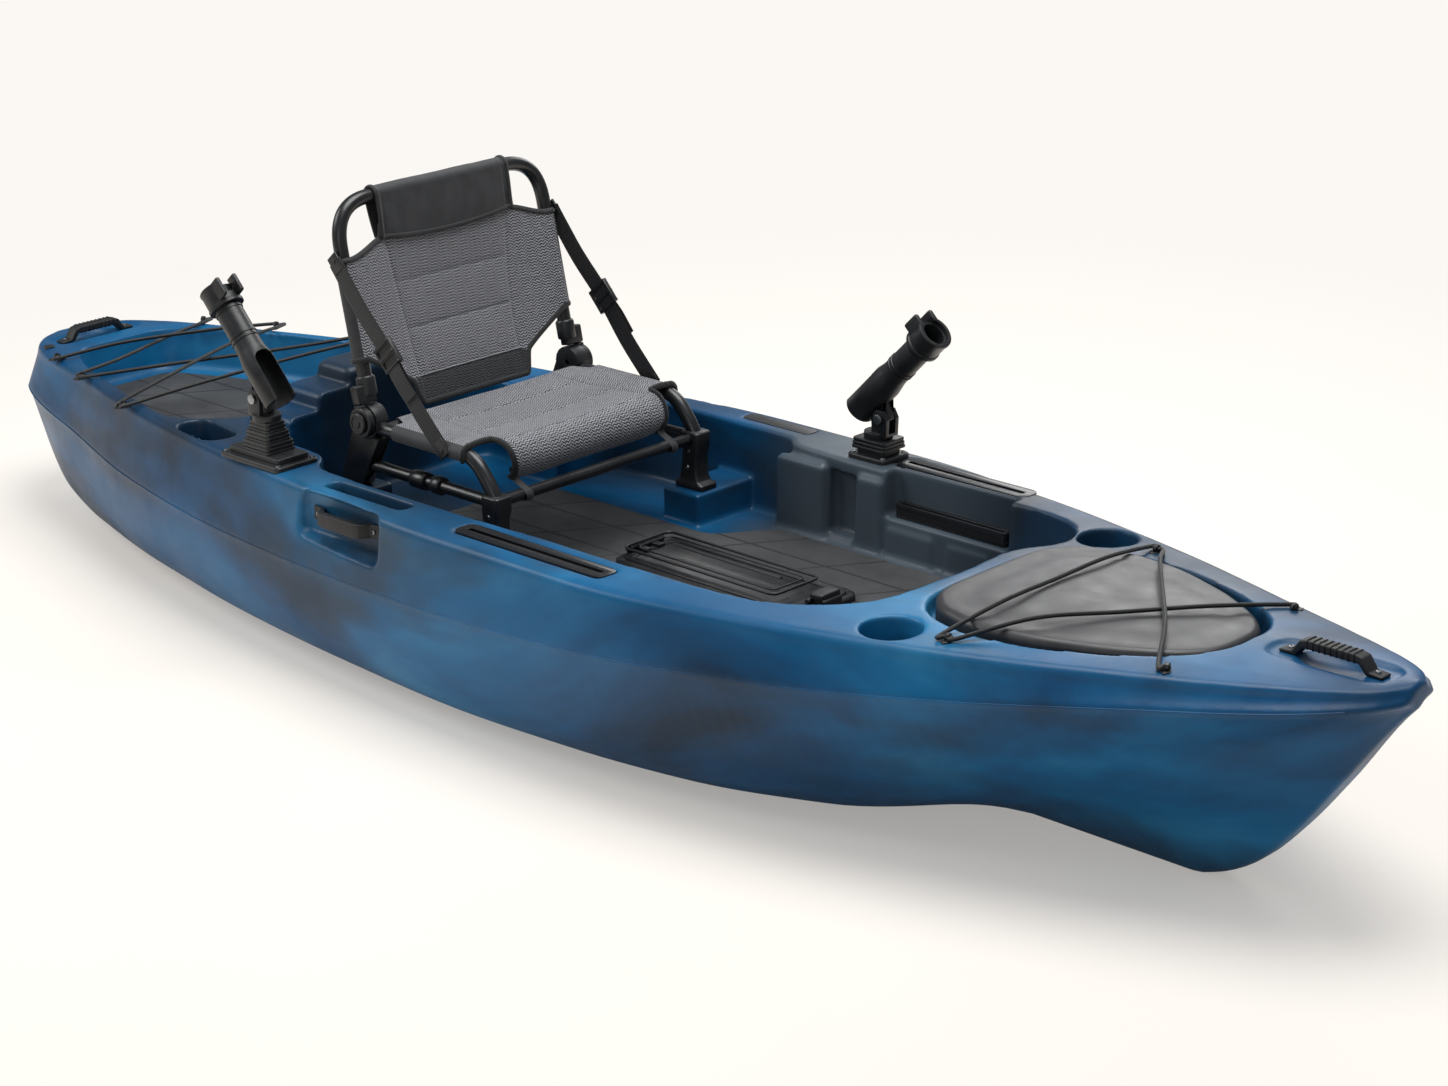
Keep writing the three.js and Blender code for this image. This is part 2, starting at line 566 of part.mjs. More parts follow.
// Shallow pockets that stay within the thickness of a wall or a boss
function cutPocket(shape, floor, grow = 0) {
  return solidOf(prism(shape, floor, floor + HULL_HEIGHT, grow));
}

const trackFloor = (track) => pocketFloor(track.x, track.y, track.length / 2, TRACK.width / 2, TRACK.pocket);
const trackShape = (track) => placed(
  rectangle(track.length, TRACK.width, TRACK.end, 3), track.x, track === PORT_TRACK ? track.y : -track.y);

// Drain holes through the floors of the cockpit and the tank well
const scupperSolids = (grow, z) => fromShares(scupperShares).points.map((point) =>
  solidOf(moved(rod(SCUPPER_RADIUS + grow, HULL_HEIGHT * 2, 'z', 10), point.x, point.y, z)));

function makeHull() {
  const outerRings = stationShares.map((s) => stationRing(s, outerHalf(s), 0));
  const innerRings = innerStationShares.map((s) => stationRing(s, innerHalf(s), WALL));
  const steps = Array.from({ length: STEP_COUNT }, (_, i) => {
    const low = deckMiddle - STEP_START;
    const top = deckMiddle + STEP_RISE * (i + 1) - STEP_START / 2;
    const length = STEP_LENGTH - i * STEP_CORNER;
    const foot = placed(rectangle(length, STEP_WIDTH - i * STEP_NARROWING, STEP_CORNER, 3), STEP_X, 0);
    return solidOf(loft([
      levelRing(outlineOf(foot), low), levelRing(outlineOf(foot, -STEP_DRAFT / 2), top - STEP_DRAFT),
      levelRing(outlineOf(foot, -STEP_DRAFT * 1.5), top),
    ]));
  });
  const blocks = sides.flatMap(([, side]) => {
    const reach = HALF_BEAM;
    return [[REAR_PEDESTAL, SEAT.rearX], [FRONT_PEDESTAL, SEAT.footX]].map(([block, x]) => {
      const width = reach - block.inner;
      const height = block.top - COCKPIT_FLOOR + WALL;
      const y = side * (block.inner + width / 2);
      return solidOf(boxAt(block.length, width, height, x, y, block.top - height / 2));
    });
  });
  const outer = solidOf(loft(outerRings, true));
  const pedestals = joined(blocks).intersect(outer);
  let inner = solidOf(loft(innerRings, true)).subtract(hollows(WALL));
  sides.forEach(([, side]) => {
    const pocket = sidePocket(side, WALL);
    inner = inner.subtract(pocket);
  });
  inner = inner.subtract(joined([STARBOARD_TRACK, PORT_TRACK].map((track) =>
    cutPocket(trackShape(track), trackFloor(track) - WALL, WALL))));
  inner = inner.subtract(joined(scupperSolids(WALL / 2, 0)));
  inner = inner.add(cutPocket(bowShape, bowLand - WALL * 2, -BOW_HATCH.landWidth));
  inner = inner.add(cutPocket(hatchOpening(), COCKPIT_FLOOR - WALL * 2));
  let hull = outer.add(joined(steps)).subtract(hollows(0)).add(pedestals);
  hull = hull.subtract(inner).subtract(joined(scupperSolids(0, 0)));
  sides.forEach(([, side]) => {
    hull = hull.subtract(sidePocket(side, 0));
  });
  return hull;
}

// The moulding is one piece. It is handed over in four lengths, a hair apart, so
// that each length's collision follows its own wells and pockets
const HULL_LENGTHS = ['hull_stern', 'hull_aft', 'hull_fore', 'hull_bow'];
const hullCutShares = [-0.4525, 0.003, 0.4605];
function addHull() {
  const whole = makeHull().subtract(joined(seats));
  const cuts = [-LENGTH, ...hullCutShares.map((share) => share * HALF_LENGTH), LENGTH];
  HULL_LENGTHS.forEach((name, i) => {
    const length = cuts[i + 1] - cuts[i] - GAP;
    const slab = boxAt(length, BEAM * 2, HULL_HEIGHT * 4, (cuts[i] + cuts[i + 1]) / 2, 0, 0);
    addPiece(kayak, name, whole.intersect(solidOf(slab)), HULL_BLUE);
  });
}

function hatchOpening() {
  return placed(
    rectangle(CENTRE_HATCH.openingLength, CENTRE_HATCH.openingWidth, CENTRE_HATCH.corner / 2, 3),
    CENTRE_HATCH.x, CENTRE_HATCH.y);
}

// The hollow behind a side handle, sunk into the hull's upper side
function sidePocket(side, grow) {
  const half = deckHalfAt(SIDE_HANDLE_X / HALF_LENGTH) * HALF_BEAM;
  const shape = rectangle(SIDE_POCKET.length, SIDE_POCKET.height, SIDE_POCKET.corner, 3);
  const geometry = prism(shape, half - SIDE_POCKET.depth - grow, half + HALF_BEAM, grow);
  geometry.rotateX(side * -Math.PI / 2);
  return solidOf(geometry.translate(SIDE_HANDLE_X, 0, SIDE_POCKET.centre));
}

// A round bar, tube or cord along a curve
function bar(curve, radius, count, steps) {
  const section = new THREE.Shape(circle(radius, count).points);
  return new THREE.ExtrudeGeometry(section, { extrudePath: curve, steps, bevelEnabled: false });
}

// A route that is stepped from point to point, so that its short bends get as
// many steps as its long runs
class RouteCurve extends THREE.CatmullRomCurve3 {
  getPointAt(share, target) {
    return this.getPoint(share, target);
  }

  getTangentAt(share, target) {
    return this.getTangent(share, target);
  }
}

// A path of straight runs joined by smooth bends
function bentPath(points, bend) {
  const path = new THREE.CurvePath();
  let from = points[0];
  points.slice(1, -1).forEach((corner, i) => {
    const back = points[i].clone().sub(corner);
    const ahead = points[i + 2].clone().sub(corner);
    const start = corner.clone().add(back.setLength(Math.min(bend, back.length() * 0.48)));
    const end = corner.clone().add(ahead.setLength(Math.min(bend, ahead.length() * 0.48)));
    path.add(new THREE.LineCurve3(from, start));
    path.add(new THREE.QuadraticBezierCurve3(start, corner, end));
    from = end;
  });
  path.add(new THREE.LineCurve3(from, points[points.length - 1]));
  return path;
}
const bentBar = (points, bend, radius, count, steps) => bar(bentPath(points, bend), radius, count, steps);
function cord(points) {
  const route = new RouteCurve(points, false, 'centripetal');
  return bar(route, CORD_RADIUS, CORD_SIDES, (points.length - 1) * CORD_STEPS);
}
const V = (x, y, z) => new THREE.Vector3(x, y, z);

// An outline drawn in the plane of x and z, given a breadth along y
function upright(points, breadth, y) {
  const flat = points.map(([x, z]) => new THREE.Vector2(x, z));
  const geometry = new THREE.ExtrudeGeometry(new THREE.Shape(flat), { depth: breadth, bevelEnabled: false });
  return geometry.rotateX(Math.PI / 2).translate(0, y + breadth / 2, 0);
}

// Shallow seats cut in the deck for what is screwed to it
const seats = [];
function deckSeat(shape, floor) {
  seats.push(cutPocket(shape, floor, GAP));
}

// A grab handle: two screwed feet and a raised grip between them
function handleGeometry() {
  const { length, width, rise, strap, foot, grip } = HANDLE;
  const half = length / 2;
  const shoulder = half - foot;
  const inner = shoulder - strap * 2;
  const crown = rise - grip;
  const outline = [
    [-half, 0], [-shoulder, 0], [-inner, crown], [inner, crown], [shoulder, 0], [half, 0],
    [half, strap * 0.7], [shoulder + strap, strap], [inner + strap, rise - strap / 2], [inner - strap, rise],
    [-inner + strap, rise], [-inner - strap, rise - strap / 2], [-shoulder - strap, strap],
    [-half, strap * 0.7],
  ];
  return upright(outline, width, 0);
}

function addHandles() {
  const { length, width, pocket, margin } = HANDLE;
  const shape = rectangle(length + margin * 2, width + margin * 4, margin * 2, 2);
  const ends = [['bow_handle', BOW_HANDLE_X, 0], ['stern_handle', STERN_HANDLE_X, Math.PI / 2]];
  ends.forEach(([name, x, turn]) => {
    const halves = turn ? [width / 2, length / 2] : [length / 2, width / 2];
    const floor = pocketFloor(x, 0, ...halves, pocket);
    const points = shape.points.map((point) => point.clone().rotateAround(new THREE.Vector2(), turn));
    deckSeat(placed({ ...shape, points }, x, 0), floor);
    const handle = addPiece(kayak, name, handleGeometry(), PLASTIC_BLACK);
    handle.position.set(x, 0, floor + GAP);
    handle.rotation.z = turn;
  });
  const half = deckHalfAt(SIDE_HANDLE_X / HALF_LENGTH) * HALF_BEAM - SIDE_POCKET.depth;
  sides.forEach(([name, side]) => {
    const handle = addPiece(kayak, `side_handle_${name}`, handleGeometry(), PLASTIC_BLACK);
    handle.position.set(SIDE_HANDLE_X, side * (half + GAP), SIDE_POCKET.centre);
    handle.rotation.x = side * -Math.PI / 2;
  });
}

// A rail with an undercut slot along its middle
function trackSolid(length, width, height, slot, lip, chamber, end) {
  const body = solidOf(prism(rectangle(length, width, end, 3), 0, height));
  const cutLength = length - end * 2;
  const mouth = solidOf(boxAt(cutLength, slot, height, 0, 0, height));
  const room = solidOf(boxAt(cutLength, chamber, height - lip * 2, 0, 0, height / 2));
  return body.subtract(mouth.add(room));
}

function addTracks() {
  const { width, height, slot, lip, chamber, end } = TRACK;
  const tracks = [['gear_track_starboard', STARBOARD_TRACK, -1], ['gear_track_port', PORT_TRACK, 1]];
  tracks.forEach(([name, track, side]) => {
    deckSeat(trackShape(track), trackFloor(track));
    const extrusion = trackSolid(track.length, width, height, slot, lip, chamber, end);
    const piece = addPiece(kayak, name, extrusion, TUBE_BLACK);
    piece.position.set(track.x, side * track.y, trackFloor(track) + GAP);
  });
  const rail = WALL_TRACK;
  const solid = trackSolid(
    rail.length, rail.width, rail.height, rail.slot, rail.lip, rail.chamber, WALL_POCKET.corner,
  );
  const wall = addPiece(kayak, 'wall_track_port', solid, TUBE_BLACK);
  const wallY = portWallY + RAIL_NICHE.depth - GAP - rail.width / 2;
  wall.position.set(RAIL_NICHE.x, wallY, RAIL_NICHE.ledge + GAP);
}

// A pad eye: a small plate with one upright loop
function padEye() {
  const { length, width, plate: sheet, boss, hole, thick } = PAD_EYE;
  const loop = new THREE.Shape(circle(boss, 8).points);
  loop.holes.push(new THREE.Path(circle(hole, 6).points));
  const ring = new THREE.ExtrudeGeometry(loop, { depth: thick, bevelEnabled: false });
  ring.rotateX(Math.PI / 2).translate(0, thick / 2, sheet + hole);
  return solidOf(prism(rectangle(length, width, width / 2, 1), 0, sheet)).add(solidOf(ring));
}

function eyePlaces(shares) {
  return shares.map(([shareX, shareY, turnShare]) => {
    const x = shareX * HALF_LENGTH;
    const y = shareY * HALF_BEAM;
    const floor = pocketFloor(x, y, PAD_EYE.width / 2, PAD_EYE.length / 2, PAD_EYE.pocket);
    const turn = Math.PI / 2 + turnShare;
    const height = floor + GAP + PAD_EYE.plate + PAD_EYE.hole;
    return { x, y, floor, turn, height, along: V(Math.sin(turn), -Math.cos(turn), 0) };
  });
}
const bowEyes = eyePlaces(bowEyeShares);
const sternEyes = eyePlaces(sternEyeShares);

function addPadEyes() {
  const named = (deck, rows) => rows.flatMap((row) => sides.map(([side]) => `${deck}_eye_${row}_${side}`));
  const names = [...named('bow', ['aft', 'fore']), ...named('stern', ['aft', 'middle', 'fore'])];
  [...bowEyes, ...sternEyes].forEach((eye, i) => {
    const name = names[i];
    const plan = rectangle(PAD_EYE.length, PAD_EYE.width, PAD_EYE.width / 2, 1);
    const points = plan.points.map((point) => point.clone().rotateAround(new THREE.Vector2(), eye.turn));
    deckSeat(placed({ ...plan, points }, eye.x, eye.y), eye.floor);
    const piece = addPiece(kayak, name, padEye(), PLASTIC_BLACK);
    piece.position.set(eye.x, eye.y, eye.floor + GAP);
    piece.rotation.z = eye.turn;
  });
}

// Elastic cords: straight runs from eye to eye, and through each loop. The shares
// are of a loop's thickness, before and behind it
const eyePassShares = [-2.2, -0.8, 0.8, 2.2];
const bowHatchTop = bowDeck + BOW_HATCH.coverProud + BOW_HATCH.coverCrown;
function throughEye(eye, direction) {
  const middle = V(eye.x, eye.y, eye.height);
  return eyePassShares.map((share) =>
    middle.clone().addScaledVector(eye.along, direction * share * PAD_EYE.thick));
}

function addCords() {
  const [aftNear, aftFar, foreNear, foreFar] = bowEyes;
  const over = (from, to, share, lift) => {
    const point = V(from.x, from.y, 0).lerp(V(to.x, to.y, 0), share);
    point.z = bowHatchTop + CORD_RADIUS + GAP + lift;
    return point;
  };
  const bowRoute = [
    ...throughEye(foreFar, -1).slice(1), over(foreFar, aftNear, 0.25, 0), over(foreFar, aftNear, 0.5, 0),
    over(foreFar, aftNear, 0.75, 0), ...throughEye(aftNear, -1), over(aftNear, aftFar, 0.25, 0),
    over(aftNear, aftFar, 0.75, 0), ...throughEye(aftFar, 1), over(aftFar, foreNear, 0.25, CORD_RADIUS * 2.4),
    over(aftFar, foreNear, 0.5, CORD_RADIUS * 2.4), over(aftFar, foreNear, 0.75, CORD_RADIUS),
    ...throughEye(foreNear, 1).slice(0, 3),
  ];
  addPiece(kayak, 'bow_cord', cord(bowRoute), CORD_BLACK);

  // The stern cord crosses the tank well between its six eyes
  const [aftS, aftP, middleS, middleP, foreS, foreP] = sternEyes;
  const between = (from, to, share, lift) => {
    const point = V(from.x, from.y, from.height).lerp(V(to.x, to.y, to.height), share);
    point.z += lift;
    return point;
  };
  const lift = CORD_RADIUS * 2.6;
  const drop = -CORD_RADIUS / 2;
  const sternRoute = [
    ...throughEye(aftS, 1).slice(1), between(aftS, middleP, 0.3, lift), between(aftS, middleP, 0.7, lift),
    ...throughEye(middleP, 1), between(middleP, foreS, 0.3, lift), between(middleP, foreS, 0.7, lift),
    ...throughEye(foreS, 1), between(foreS, foreP, 0.3, 0), between(foreS, foreP, 0.7, 0),
    ...throughEye(foreP, -1), between(foreP, middleS, 0.3, drop), between(foreP, middleS, 0.7, drop),
    ...throughEye(middleS, -1), between(middleS, aftP, 0.3, drop), between(middleS, aftP, 0.7, drop),
    ...throughEye(aftP, -1).slice(0, 3),
  ];
  addPiece(kayak, 'stern_cord', cord(sternRoute), CORD_BLACK);
}

// Mats with a chamfered edge, cut out round what stands through them
function addMats() {
  const shape = fromShares(cockpitMatShares, MAT_CORNER, 2);
  const hatch = placed(rectangle(CENTRE_HATCH.length, CENTRE_HATCH.width, CENTRE_HATCH.corner, 3),
    CENTRE_HATCH.x, CENTRE_HATCH.y);
  const low = COCKPIT_FLOOR + GAP;
  const sheet = solidOf(plate(shape, low, low + MAT_THICKNESS, GAP * 2));
  const mat = sheet.subtract(cutPocket(hatch, low - OVERRUN, GAP * 2));
  addPiece(kayak, 'cockpit_mat', mat, MAT_GREY);
  const tankLow = TANK_FLOOR + GAP;
  const holes = joined(scupperSolids(MAT_MARGIN / 2, TANK_FLOOR));
  const tankPlan = outlineOf({ ...tankShape, steps: 1 }, -TANK_DRAFT - TANK_FILLET - MAT_MARGIN / 2);
  const tankMatShape = { points: tankPlan, corner: 0, steps: 0 };
  const tankMat = solidOf(plate(tankMatShape, tankLow, tankLow + MAT_THICKNESS, GAP * 2));
  addPiece(kayak, 'tankwell_mat', tankMat.subtract(holes), MAT_GREY);
}

// Centre hatch: a framed rim, a hinged lid with its pin, and a turning latch
const hatchRimTop = COCKPIT_FLOOR + GAP + CENTRE_HATCH.rimHeight;
const lidLength = CENTRE_HATCH.length - CENTRE_HATCH.rimFrame * 2;
const lidWidth = CENTRE_HATCH.width - CENTRE_HATCH.rimFrame * 2;
const hingeX = CENTRE_HATCH.x - lidLength / 2 - CENTRE_HATCH.rimFrame / 2;
const hingeZ = hatchRimTop + CENTRE_HATCH.hingeKnuckle;
const latchX = CENTRE_HATCH.x + lidLength / 2 - CENTRE_HATCH.latchRadius * 2;
const latchZ = hatchRimTop + CENTRE_HATCH.lidLift + CENTRE_HATCH.latchRadius + GAP * 4;

function knuckle(x, y, z, radius, breadth, footZ) {
  const barrel = solidOf(moved(rod(radius, breadth, 'y', 10), x, y, z));
  return barrel.add(solidOf(boxAt(radius, breadth, z - footZ, x, y, (z + footZ) / 2)));
}

function addCentreHatch() {
  const { x, y, length, width, corner, lidHeight, lidLift, hingeRadius, hingeKnuckle } = CENTRE_HATCH;
  const { latchWidth, latchHeight, latchThickness, latchRadius } = CENTRE_HATCH;
  const recess = hatchRimTop + lidLift - lidHeight;
  const lidTop = hatchRimTop + lidLift;
  const frame = placed(rectangle(length, width, corner, 3), x, y);
  const lidShape = placed(rectangle(lidLength, lidWidth, corner * 0.6, 3), x, y);
  const step = hingeKnuckle * 2;
  const pinSpace = rod(hingeRadius + GAP, step * (HINGE_KNUCKLES + 1), 'y', 10);
  const pinHole = solidOf(moved(pinSpace, hingeX, y, hingeZ));
  const latchPin = (grow) => solidOf(moved(
    rod(latchRadius / 2 + grow, latchWidth + step, 'y', 10), latchX, y, latchZ));
  const rimKnuckles = [-2, 0, 2].map((i) =>
    knuckle(hingeX, y + i * step, hingeZ, hingeKnuckle - GAP, step - GAP * 4, hatchRimTop - lidLift));
  const earPlace = latchWidth / 2 + step / 4 + GAP;
  const ears = [-1, 1].map((i) =>
    knuckle(latchX, y + i * earPlace, latchZ, latchRadius * 1.2, step / 2, hatchRimTop));
  const rim = solidOf(plate(frame, COCKPIT_FLOOR + GAP, hatchRimTop, lidLift))
    .subtract(cutPocket(lidShape, recess - GAP, GAP * 2))
    .subtract(cutPocket(hatchOpening(), COCKPIT_FLOOR - OVERRUN))
    .add(joined(rimKnuckles)).subtract(pinHole);
  addPiece(kayak, 'centre_hatch_rim', rim, PLASTIC_BLACK);

  const panel = placed(rectangle(lidLength - corner, lidWidth - corner, corner / 2, 2), x, y);
  const lidKnuckles = [-1, 1].map((i) => {
    const at = y + i * step;
    const barrel = solidOf(moved(rod(hingeKnuckle - GAP, step - GAP * 4, 'y', 10), hingeX, at, hingeZ));
    const reach = hingeKnuckle * 3;
    const tongue = boxAt(reach, step - GAP * 4, lidLift * 1.6, hingeX + reach / 2, at, hingeZ - lidLift);
    return barrel.add(solidOf(tongue));
  });
  const lid = solidOf(plate(lidShape, recess, lidTop, lidLift / 2))
    .subtract(cutPocket(panel, lidTop - lidLift / 2))
    .add(joined(lidKnuckles)).subtract(pinHole).add(joined(ears)).add(latchPin(0));
  addPiece(kayak, 'centre_hatch_lid', lid, PLASTIC_BLACK);
  const pin = addPiece(kayak, 'lid_hinge_pin', rod(hingeRadius, step * HINGE_KNUCKLES, 'y', 10), STEEL);
  pin.position.set(hingeX, y, hingeZ);

  // The latch reaches forward over the rim and down its front face
  const reach = x + length / 2 + GAP * 2 - latchX;
  const tip = reach + latchThickness;
  const hookLow = COCKPIT_FLOOR + MAT_THICKNESS + GAP * 6 - latchZ;
  const arm = [
    [0, -latchRadius], [reach, -latchRadius], [reach, hookLow], [tip, hookLow], [tip, latchRadius],
    [tip - latchThickness, latchHeight - latchRadius], [latchRadius * 2, latchHeight - latchRadius],
    [-latchRadius * 0.7, latchRadius * 0.7], [-latchRadius, 0], [-latchRadius * 0.7, -latchRadius * 0.7],
  ];
  const body = solidOf(upright(arm, latchWidth, 0)).translate([latchX, y, latchZ]);
  addPiece(kayak, 'lid_latch', body.subtract(latchPin(GAP)), PLASTIC_BLACK);
}

// Bow hatch: a seal on the moulded land and a crowned cover over it
function addBowHatch() {
  const { moatWidth, sealWidth, sealHeight, coverEdge, coverProud, coverCrown } = BOW_HATCH;
  const sealLow = bowLand + GAP;
  const inset = moatWidth + WALL;
  const ring = solidOf(prism(bowShape, sealLow, sealLow + sealHeight, -inset))
    .subtract(cutPocket(bowShape, sealLow - OVERRUN, -inset - sealWidth));
  addPiece(kayak, 'bow_hatch_seal', ring, WEB_BLACK);
  const rim = outlineOf(bowShape, -moatWidth);
  const middle = rim.reduce((sum, point) => sum.add(point), new THREE.Vector2()).divideScalar(rim.length);
  const shrunk = (share) => rim.map((point) => middle.clone().lerp(point, share));
  const low = sealLow + sealHeight + GAP;
  const top = bowDeck + coverProud;
  const cover = loft([
    levelRing(shrunk(0.97), low), levelRing(rim, low + coverEdge), levelRing(rim, top - coverEdge * 0.4),
    levelRing(shrunk(0.975), top), levelRing(shrunk(0.6), top + coverCrown * 0.7),
    levelRing(shrunk(0.2), top + coverCrown),
  ]);
  addPiece(kayak, 'bow_hatch_cover', cover, COVER_GREY);
}

// Seat frame: two bent side rails joined by a front and a rear bar
function seatFrame(grow) {
  const { railHalf, railRadius, railHeight, pivotX, bendX, footX, footTop, socketDepth, rearBarX } = SEAT;
  const rails = sides.map(([, side]) => {
    const y = side * railHalf;
    const points = [
      V(pivotX + railRadius, y, railHeight), V(bendX, y, railHeight),
      V(footX, y, footTop), V(footX + railRadius / 2, y, footTop - socketDepth),
    ];
    return solidOf(bentBar(points, railRadius * 2.6, railRadius + grow, 8, 16));
  });
  const barZ = footTop - railRadius;
  const front = moved(rod(railRadius * 0.8 + grow, railHalf * 2, 'y', 8), footX + railRadius * 0.25, 0, barZ);
  const rear = moved(rod(railRadius * 0.8 + grow, railHalf * 2, 'y', 8), rearBarX, 0, railHeight);
  return joined([...rails, solidOf(front), solidOf(rear)]);
}

function lowerRail(side, grow) {
  const { railHalf, railRadius, rearX, footX, lowerHeight } = SEAT;
  const length = footX - rearX - railRadius * 2;
  const middle = (footX + rearX) / 2 - railRadius * 0.5;
  const straight = rod(railRadius * 0.85 + grow, length, 'x', 10);
  const tube = solidOf(moved(straight, middle, side * railHalf, lowerHeight));
  if (grow > 0) return tube;
  const sleeve = moved(rod(railRadius * 1.25, railRadius * 3, 'x', 10), middle, side * railHalf, lowerHeight);
  return tube.add(solidOf(sleeve));
}

function addSeatFrame() {
  const { railHalf, pivotX, pivotZ, footX, footTop, footLength, footWidth, rearX } = SEAT;
  const { hubRadius, hubThickness, boltRadius, boltHead, knuckleBreadth, backHalf } = SEAT;
  addPiece(kayak, 'seat_frame', seatFrame(0), TUBE_BLACK);
  const framework = seatFrame(GAP);
  sides.forEach(([name, side]) => {
    const y = side * railHalf;
    const hub = moved(rod(hubRadius, hubThickness, 'y', 16), pivotX, y, pivotZ);
    const hubSpace = solidOf(moved(rod(hubRadius + GAP, hubThickness * 2, 'y', 16), pivotX, y, pivotZ));
    const boltHole = solidOf(moved(rod(boltRadius + GAP, backHalf, 'y', 10), pivotX, y, pivotZ));
    const socket = lowerRail(side, GAP);
    addPiece(kayak, `lower_rail_${name}`, lowerRail(side, 0), TUBE_BLACK);
    const hubSolid = solidOf(hub).subtract(framework).subtract(boltHole);
    addPiece(kayak, `recline_hub_${name}`, hubSolid, PLASTIC_BLACK);
    const half = footLength / 2;
    const frontFoot = upright([
      [footX - half, FRONT_PEDESTAL.top + GAP], [footX + half, FRONT_PEDESTAL.top + GAP],
      [footX + half, FRONT_PEDESTAL.top + half * 0.4], [footX + half * 0.8, footTop],
      [footX - half * 1.1, footTop], [footX - half * 1.1, FRONT_PEDESTAL.top + half * 0.6],
    ], footWidth, y);
    const frontSolid = solidOf(frontFoot).subtract(framework).subtract(socket);
    addPiece(kayak, `front_foot_${name}`, frontSolid, PLASTIC_BLACK);
    const rearFoot = upright([
      [rearX - half, REAR_PEDESTAL.top + GAP], [rearX + half, REAR_PEDESTAL.top + GAP],
      [pivotX + hubRadius, pivotZ - hubRadius], [pivotX - hubRadius, pivotZ],
      [rearX - half * 0.8, REAR_PEDESTAL.top + half],
    ], hubThickness, y);
    const rearSolid = solidOf(rearFoot).subtract(hubSpace).subtract(framework).subtract(socket);
    addPiece(kayak, `rear_foot_${name}`, rearSolid, PLASTIC_BLACK);
    const outer = railHalf + hubThickness / 2 + GAP * 2 + knuckleBreadth + GAP;
    const inner = railHalf - hubThickness / 2;
    const shaftY = side * (outer + inner) / 2;
    const headY = side * (outer + boltRadius / 2);
    const shaft = solidOf(moved(rod(boltRadius, outer - inner, 'y', 10), pivotX, shaftY, pivotZ));
    const head = solidOf(moved(rod(boltHead, boltRadius, 'y', 10), pivotX, headY, pivotZ));
    addPiece(kayak, `recline_bolt_${name}`, shaft.add(head), STEEL);
  });
}

// A soft panel: a grid with a crown, drawn-in sides and sewn channels.
// u runs across, v along, and the outer face looks along w
const PANEL_ACROSS = 8;
const PANEL_ALONG = 6;
const channelShares = { narrow: 7, least: 0.35, most: 0.65 };
const drawnInShares = { seat: 0.01, back: 0.004 };

// Where the channels lie: 1 for one that runs across or 0 along, then its place
const seatSeamShares = [[1, -0.35], [0, -0.6], [0, 0.6]];
const backSeamShares = [[1, 0.42], [1, -0.72], [0, -0.5], [0, 0.5]];
function softPanel(width, length, thickness, crown, pull, seams) {
  const across = PANEL_ACROSS;
  const along = PANEL_ALONG;
  const positions = [];
  const place = (i, j, face) => {
    const u = i / across * 2 - 1;
    const v = j / along * 2 - 1;
    const drawn = 1 - pull * (1 - v * v);
    const clear = seams.map(([axis, at]) => Math.abs((axis ? v : u) - at) * channelShares.narrow);
    const sewn = channelShares.least + channelShares.most * Math.min(1, ...clear);
    const rise = crown * (1 - u * u * u * u) * (1 - v * v * v * v) * sewn;
    positions.push(u * width / 2 * drawn, v * length / 2, face ? thickness / 2 + rise : -thickness / 2);
  };
  const faces = [];
  [1, 0].forEach((face) => {
    for (let j = 0; j <= along; j += 1) for (let i = 0; i <= across; i += 1) place(i, j, face);
  });
  const at = (i, j, back) => j * (across + 1) + i + back * (across + 1) * (along + 1);
  const quad = (a, b, c, d) => faces.push(a, b, c, a, c, d);
  for (let j = 0; j < along; j += 1) {
    for (let i = 0; i < across; i += 1) {
      quad(at(i, j, 0), at(i + 1, j, 0), at(i + 1, j + 1, 0), at(i, j + 1, 0));
      quad(at(i, j, 1), at(i, j + 1, 1), at(i + 1, j + 1, 1), at(i + 1, j, 1));
    }
  }
  for (let i = 0; i < across; i += 1) {
    quad(at(i, 0, 0), at(i, 0, 1), at(i + 1, 0, 1), at(i + 1, 0, 0));
    quad(at(i, along, 0), at(i + 1, along, 0), at(i + 1, along, 1), at(i, along, 1));
  }
  for (let j = 0; j < along; j += 1) {
    quad(at(0, j, 0), at(0, j + 1, 0), at(0, j + 1, 1), at(0, j, 1));
    quad(at(across, j, 0), at(across, j, 1), at(across, j + 1, 1), at(across, j + 1, 0));
  }
  const geometry = new THREE.BufferGeometry();
  geometry.setAttribute('position', new THREE.Float32BufferAttribute(positions, 3));
  geometry.setIndex(faces);
  return geometry;
}

function addSeatCloth() {
  const { railHalf, railRadius, railHeight, clothThickness, crown } = SEAT;
  const width = (railHalf - railRadius - GAP) * 2;
  const rear = SEAT.rearBarX + railRadius + GAP;
  const front = SEAT.bendX + railRadius;
  const pull = drawnInShares.seat;
  const panel = softPanel(width, front - rear, clothThickness, crown, pull, seatSeamShares);
  panel.rotateZ(-Math.PI / 2);
  const cloth = addPiece(kayak, 'seat_cloth', panel, MESH_GREY);
  cloth.position.set((front + rear) / 2, 0, railHeight);
}

